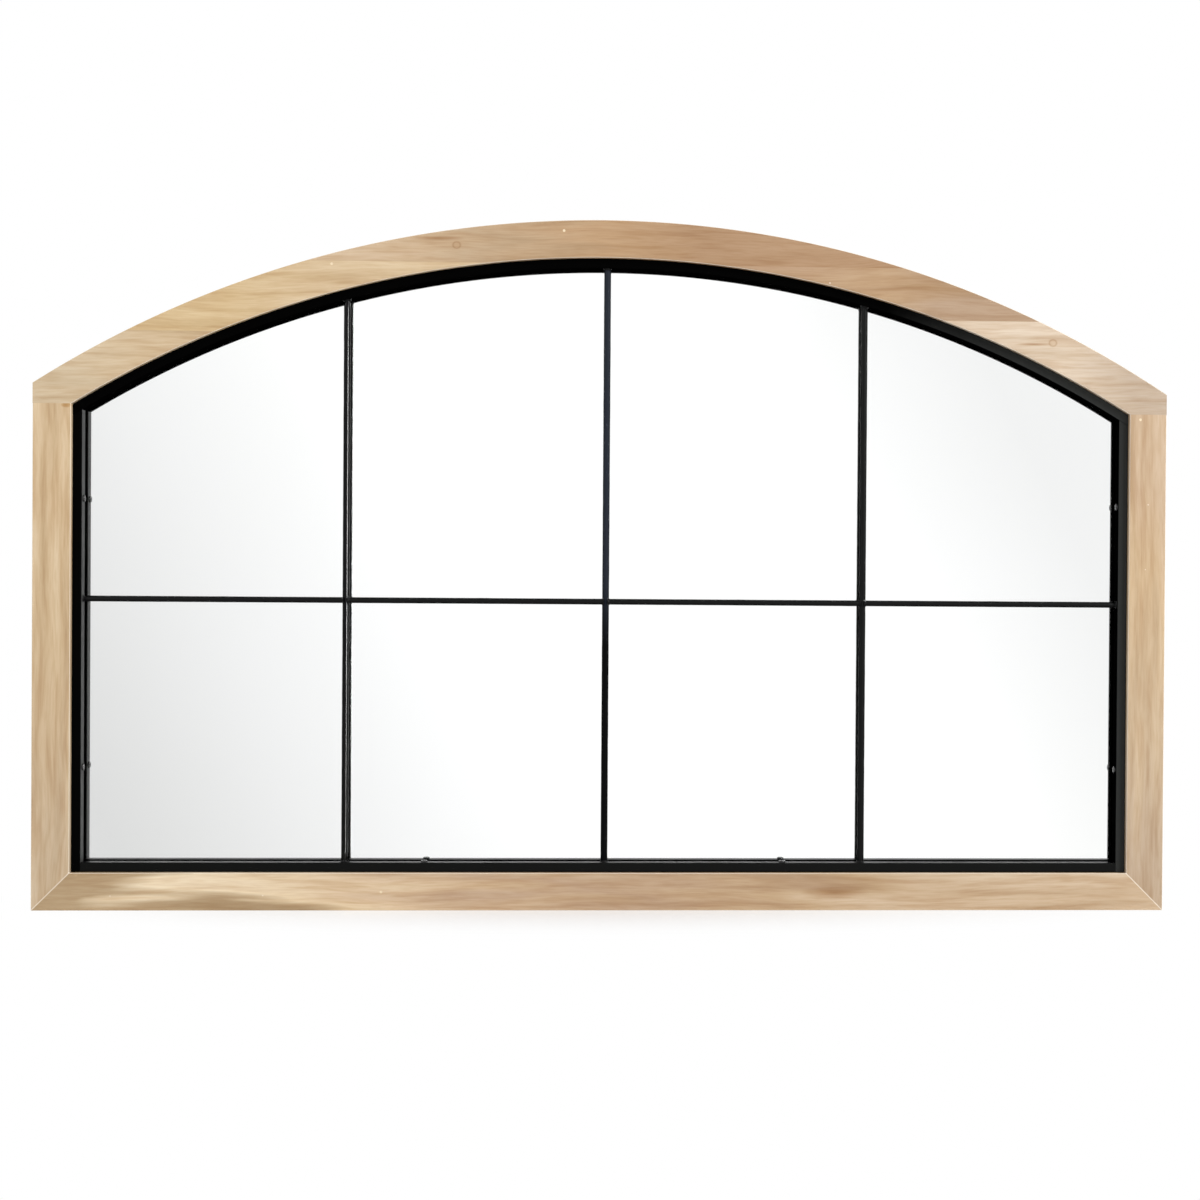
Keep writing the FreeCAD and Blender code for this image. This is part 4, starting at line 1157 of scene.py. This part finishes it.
def stage_floor():
    """A white floor that shows the object's soft shadow near it, and plain white further off."""
    clear_selection()
    bpy.ops.mesh.primitive_plane_add(size=12, location=(0, 0, FLOOR))
    floor = bpy.context.object
    floor.name = "studio_floor"
    material, tree = new_material("white studio floor")
    rays = add(tree, "ShaderNodeLightPath")
    place = add(tree, "ShaderNodeTexCoord").outputs["Object"]
    # The shadow is seen within an oval of 1.1 m by 0.3 m round the object's foot.
    round_foot = add(tree, "ShaderNodeMapping", {"Vector": place, "Scale": (1.8, 6.5, 1.0)})
    far = add(tree, "ShaderNodeVectorMath", {0: round_foot.outputs["Vector"]},
              operation="LENGTH").outputs["Value"]
    plain = add(tree, "ShaderNodeMapRange", {"Value": far, "From Min": 0.1, "From Max": 1.0,
                                             "To Min": 0.35}, interpolation_type="SMOOTHSTEP")
    share = add(tree, "ShaderNodeMath", {0: plain.outputs["Result"],
                                         1: rays.outputs["Is Camera Ray"]},
                operation="MULTIPLY")
    paper = add(tree, "ShaderNodeBsdfPrincipled", {"Base Color": linear("#f7f7f7"),
                                                   "Roughness": 0.3})
    glow = add(tree, "ShaderNodeEmission", {"Color": (1, 1, 1, 1), "Strength": 1.0})
    mixed = add(tree, "ShaderNodeMixShader", {0: share.outputs[0]})
    tree.links.new(paper.outputs[0], mixed.inputs[1])
    tree.links.new(glow.outputs[0], mixed.inputs[2])
    # What the mirror and the metal show is the white backdrop, as if the floor swept up.
    shown = add(tree, "ShaderNodeMath", {0: rays.outputs["Is Glossy Ray"],
                                         1: rays.outputs["Is Transmission Ray"]},
                operation="MAXIMUM")
    swept = add(tree, "ShaderNodeMixShader", {0: shown.outputs[0]})
    tree.links.new(mixed.outputs[0], swept.inputs[1])
    tree.links.new(add(tree, "ShaderNodeBsdfTransparent").outputs[0], swept.inputs[2])
    close(tree, swept)
    floor.data.materials.append(material)


def lamp(name, place, target, size, power):
    """A soft lamp of a width and a height at a place, turned to a target."""
    data = bpy.data.lights.new(name, "AREA")
    data.shape = "RECTANGLE"
    data.size, data.size_y = size
    data.energy = power
    item = bpy.data.objects.new(name, data)
    bpy.context.scene.collection.objects.link(item)
    item.location = place
    way = Vector(target) - Vector(place)
    item.rotation_euler = way.to_track_quat("-Z", "Y").to_euler()
    return item


def studio_world():
    """White surroundings that the mirror reflects, greyer to its lower left and upper right."""
    world = bpy.data.worlds.new("studio")
    bpy.context.scene.world = world
    world.use_nodes = True
    tree = world.node_tree
    tree.nodes.clear()
    way = add(tree, "ShaderNodeSeparateXYZ",
              {"Vector": add(tree, "ShaderNodeTexCoord").outputs["Generated"]})
    depth = add(tree, "ShaderNodeMath", {0: way.outputs["Y"]}, operation="ABSOLUTE").outputs[0]
    across = add(tree, "ShaderNodeMath", {0: way.outputs["X"], 1: depth}, operation="DIVIDE")
    height = add(tree, "ShaderNodeMath", {0: way.outputs["Z"], 1: depth}, operation="DIVIDE")
    shade = None
    for slope_x, slope_z, start, most in ((-1.38, -0.71, -0.15, 0.30),
                                          (1.33, 0.69, -0.20, 0.13)):
        up = add(tree, "ShaderNodeMath", {0: height.outputs[0], 1: slope_z, 2: start},
                 operation="MULTIPLY_ADD")
        both = add(tree, "ShaderNodeMath", {0: across.outputs[0], 1: slope_x,
                                            2: up.outputs[0]}, operation="MULTIPLY_ADD")
        capped = add(tree, "ShaderNodeMath", {0: both.outputs[0], 1: most},
                     operation="MINIMUM")
        grey = add(tree, "ShaderNodeMath", {0: capped.outputs[0], 1: 0.0},
                   operation="MAXIMUM")
        shade = grey if shade is None else add(
            tree, "ShaderNodeMath", {0: shade.outputs[0], 1: grey.outputs[0]}, operation="ADD")
    # The glass and the silver take a few parts in a hundred, which the first number makes up.
    seen = add(tree, "ShaderNodeMath", {0: 1.05, 1: shade.outputs[0]}, operation="SUBTRACT")
    rays = add(tree, "ShaderNodeLightPath")
    mirrored = add(tree, "ShaderNodeMath", {0: rays.outputs["Is Glossy Ray"],
                                            1: rays.outputs["Is Transmission Ray"]},
                   operation="MAXIMUM")
    soft = add(tree, "ShaderNodeMix", {0: mirrored.outputs[0], 2: 0.55,
                                       3: seen.outputs[0]}, data_type="FLOAT")
    strength = add(tree, "ShaderNodeMix", {0: rays.outputs["Is Camera Ray"],
                                           2: soft.outputs[0], 3: 1.0}, data_type="FLOAT")
    glow = add(tree, "ShaderNodeBackground", {"Color": (1, 1, 1, 1),
                                              "Strength": strength.outputs[0]})
    output = add(tree, "ShaderNodeOutputWorld")
    tree.links.new(glow.outputs[0], output.inputs["Surface"])


def photo_camera():
    """The camera fitted to the photograph, 1.75 m from the wall and turned a little right."""
    data = bpy.data.cameras.new("camera")
    data.sensor_fit = "HORIZONTAL"
    data.sensor_width = 36.0
    data.lens = 58.24
    data.shift_x = -0.0841
    data.shift_y = -0.0065
    data.clip_start = 0.01
    data.clip_end = 50
    item = bpy.data.objects.new("camera", data)
    bpy.context.scene.collection.objects.link(item)
    yaw, pitch, roll = math.radians(-2.457), math.radians(-0.483), math.radians(-0.398)
    item.matrix_world = (Matrix.Translation((0.0107, -1.7462, -0.1383))
                         @ Matrix.Rotation(yaw, 4, "Z")
                         @ Matrix.Rotation(math.pi / 2 + pitch, 4, "X")
                         @ Matrix.Rotation(-roll, 4, "Z"))
    bpy.context.scene.camera = item


stage_floor()
studio_world()
MIDDLE = (0, 0, -0.13)
lamp("key softbox", (2.5, -1.7, 1.5), MIDDLE, size=(1.0, 1.4), power=80)
lamp("fill softbox", (-2.6, -1.9, 1.2), MIDDLE, size=(1.2, 1.2), power=30)
# A narrow light to the camera's right, flagged off all but the left rod, draws its glint.
glint = lamp("strip light", (1.15, -1.6, -0.12), (0, 0, -0.12), size=(0.08, 1.2), power=150)
lit = bpy.data.collections.new("left rod in the strip light")
lit.objects.link(bpy.data.objects["muntin_1_rod"])
glint.light_linking.receiver_collection = lit
photo_camera()

view = bpy.context.scene.view_settings
view.view_transform = "Standard"
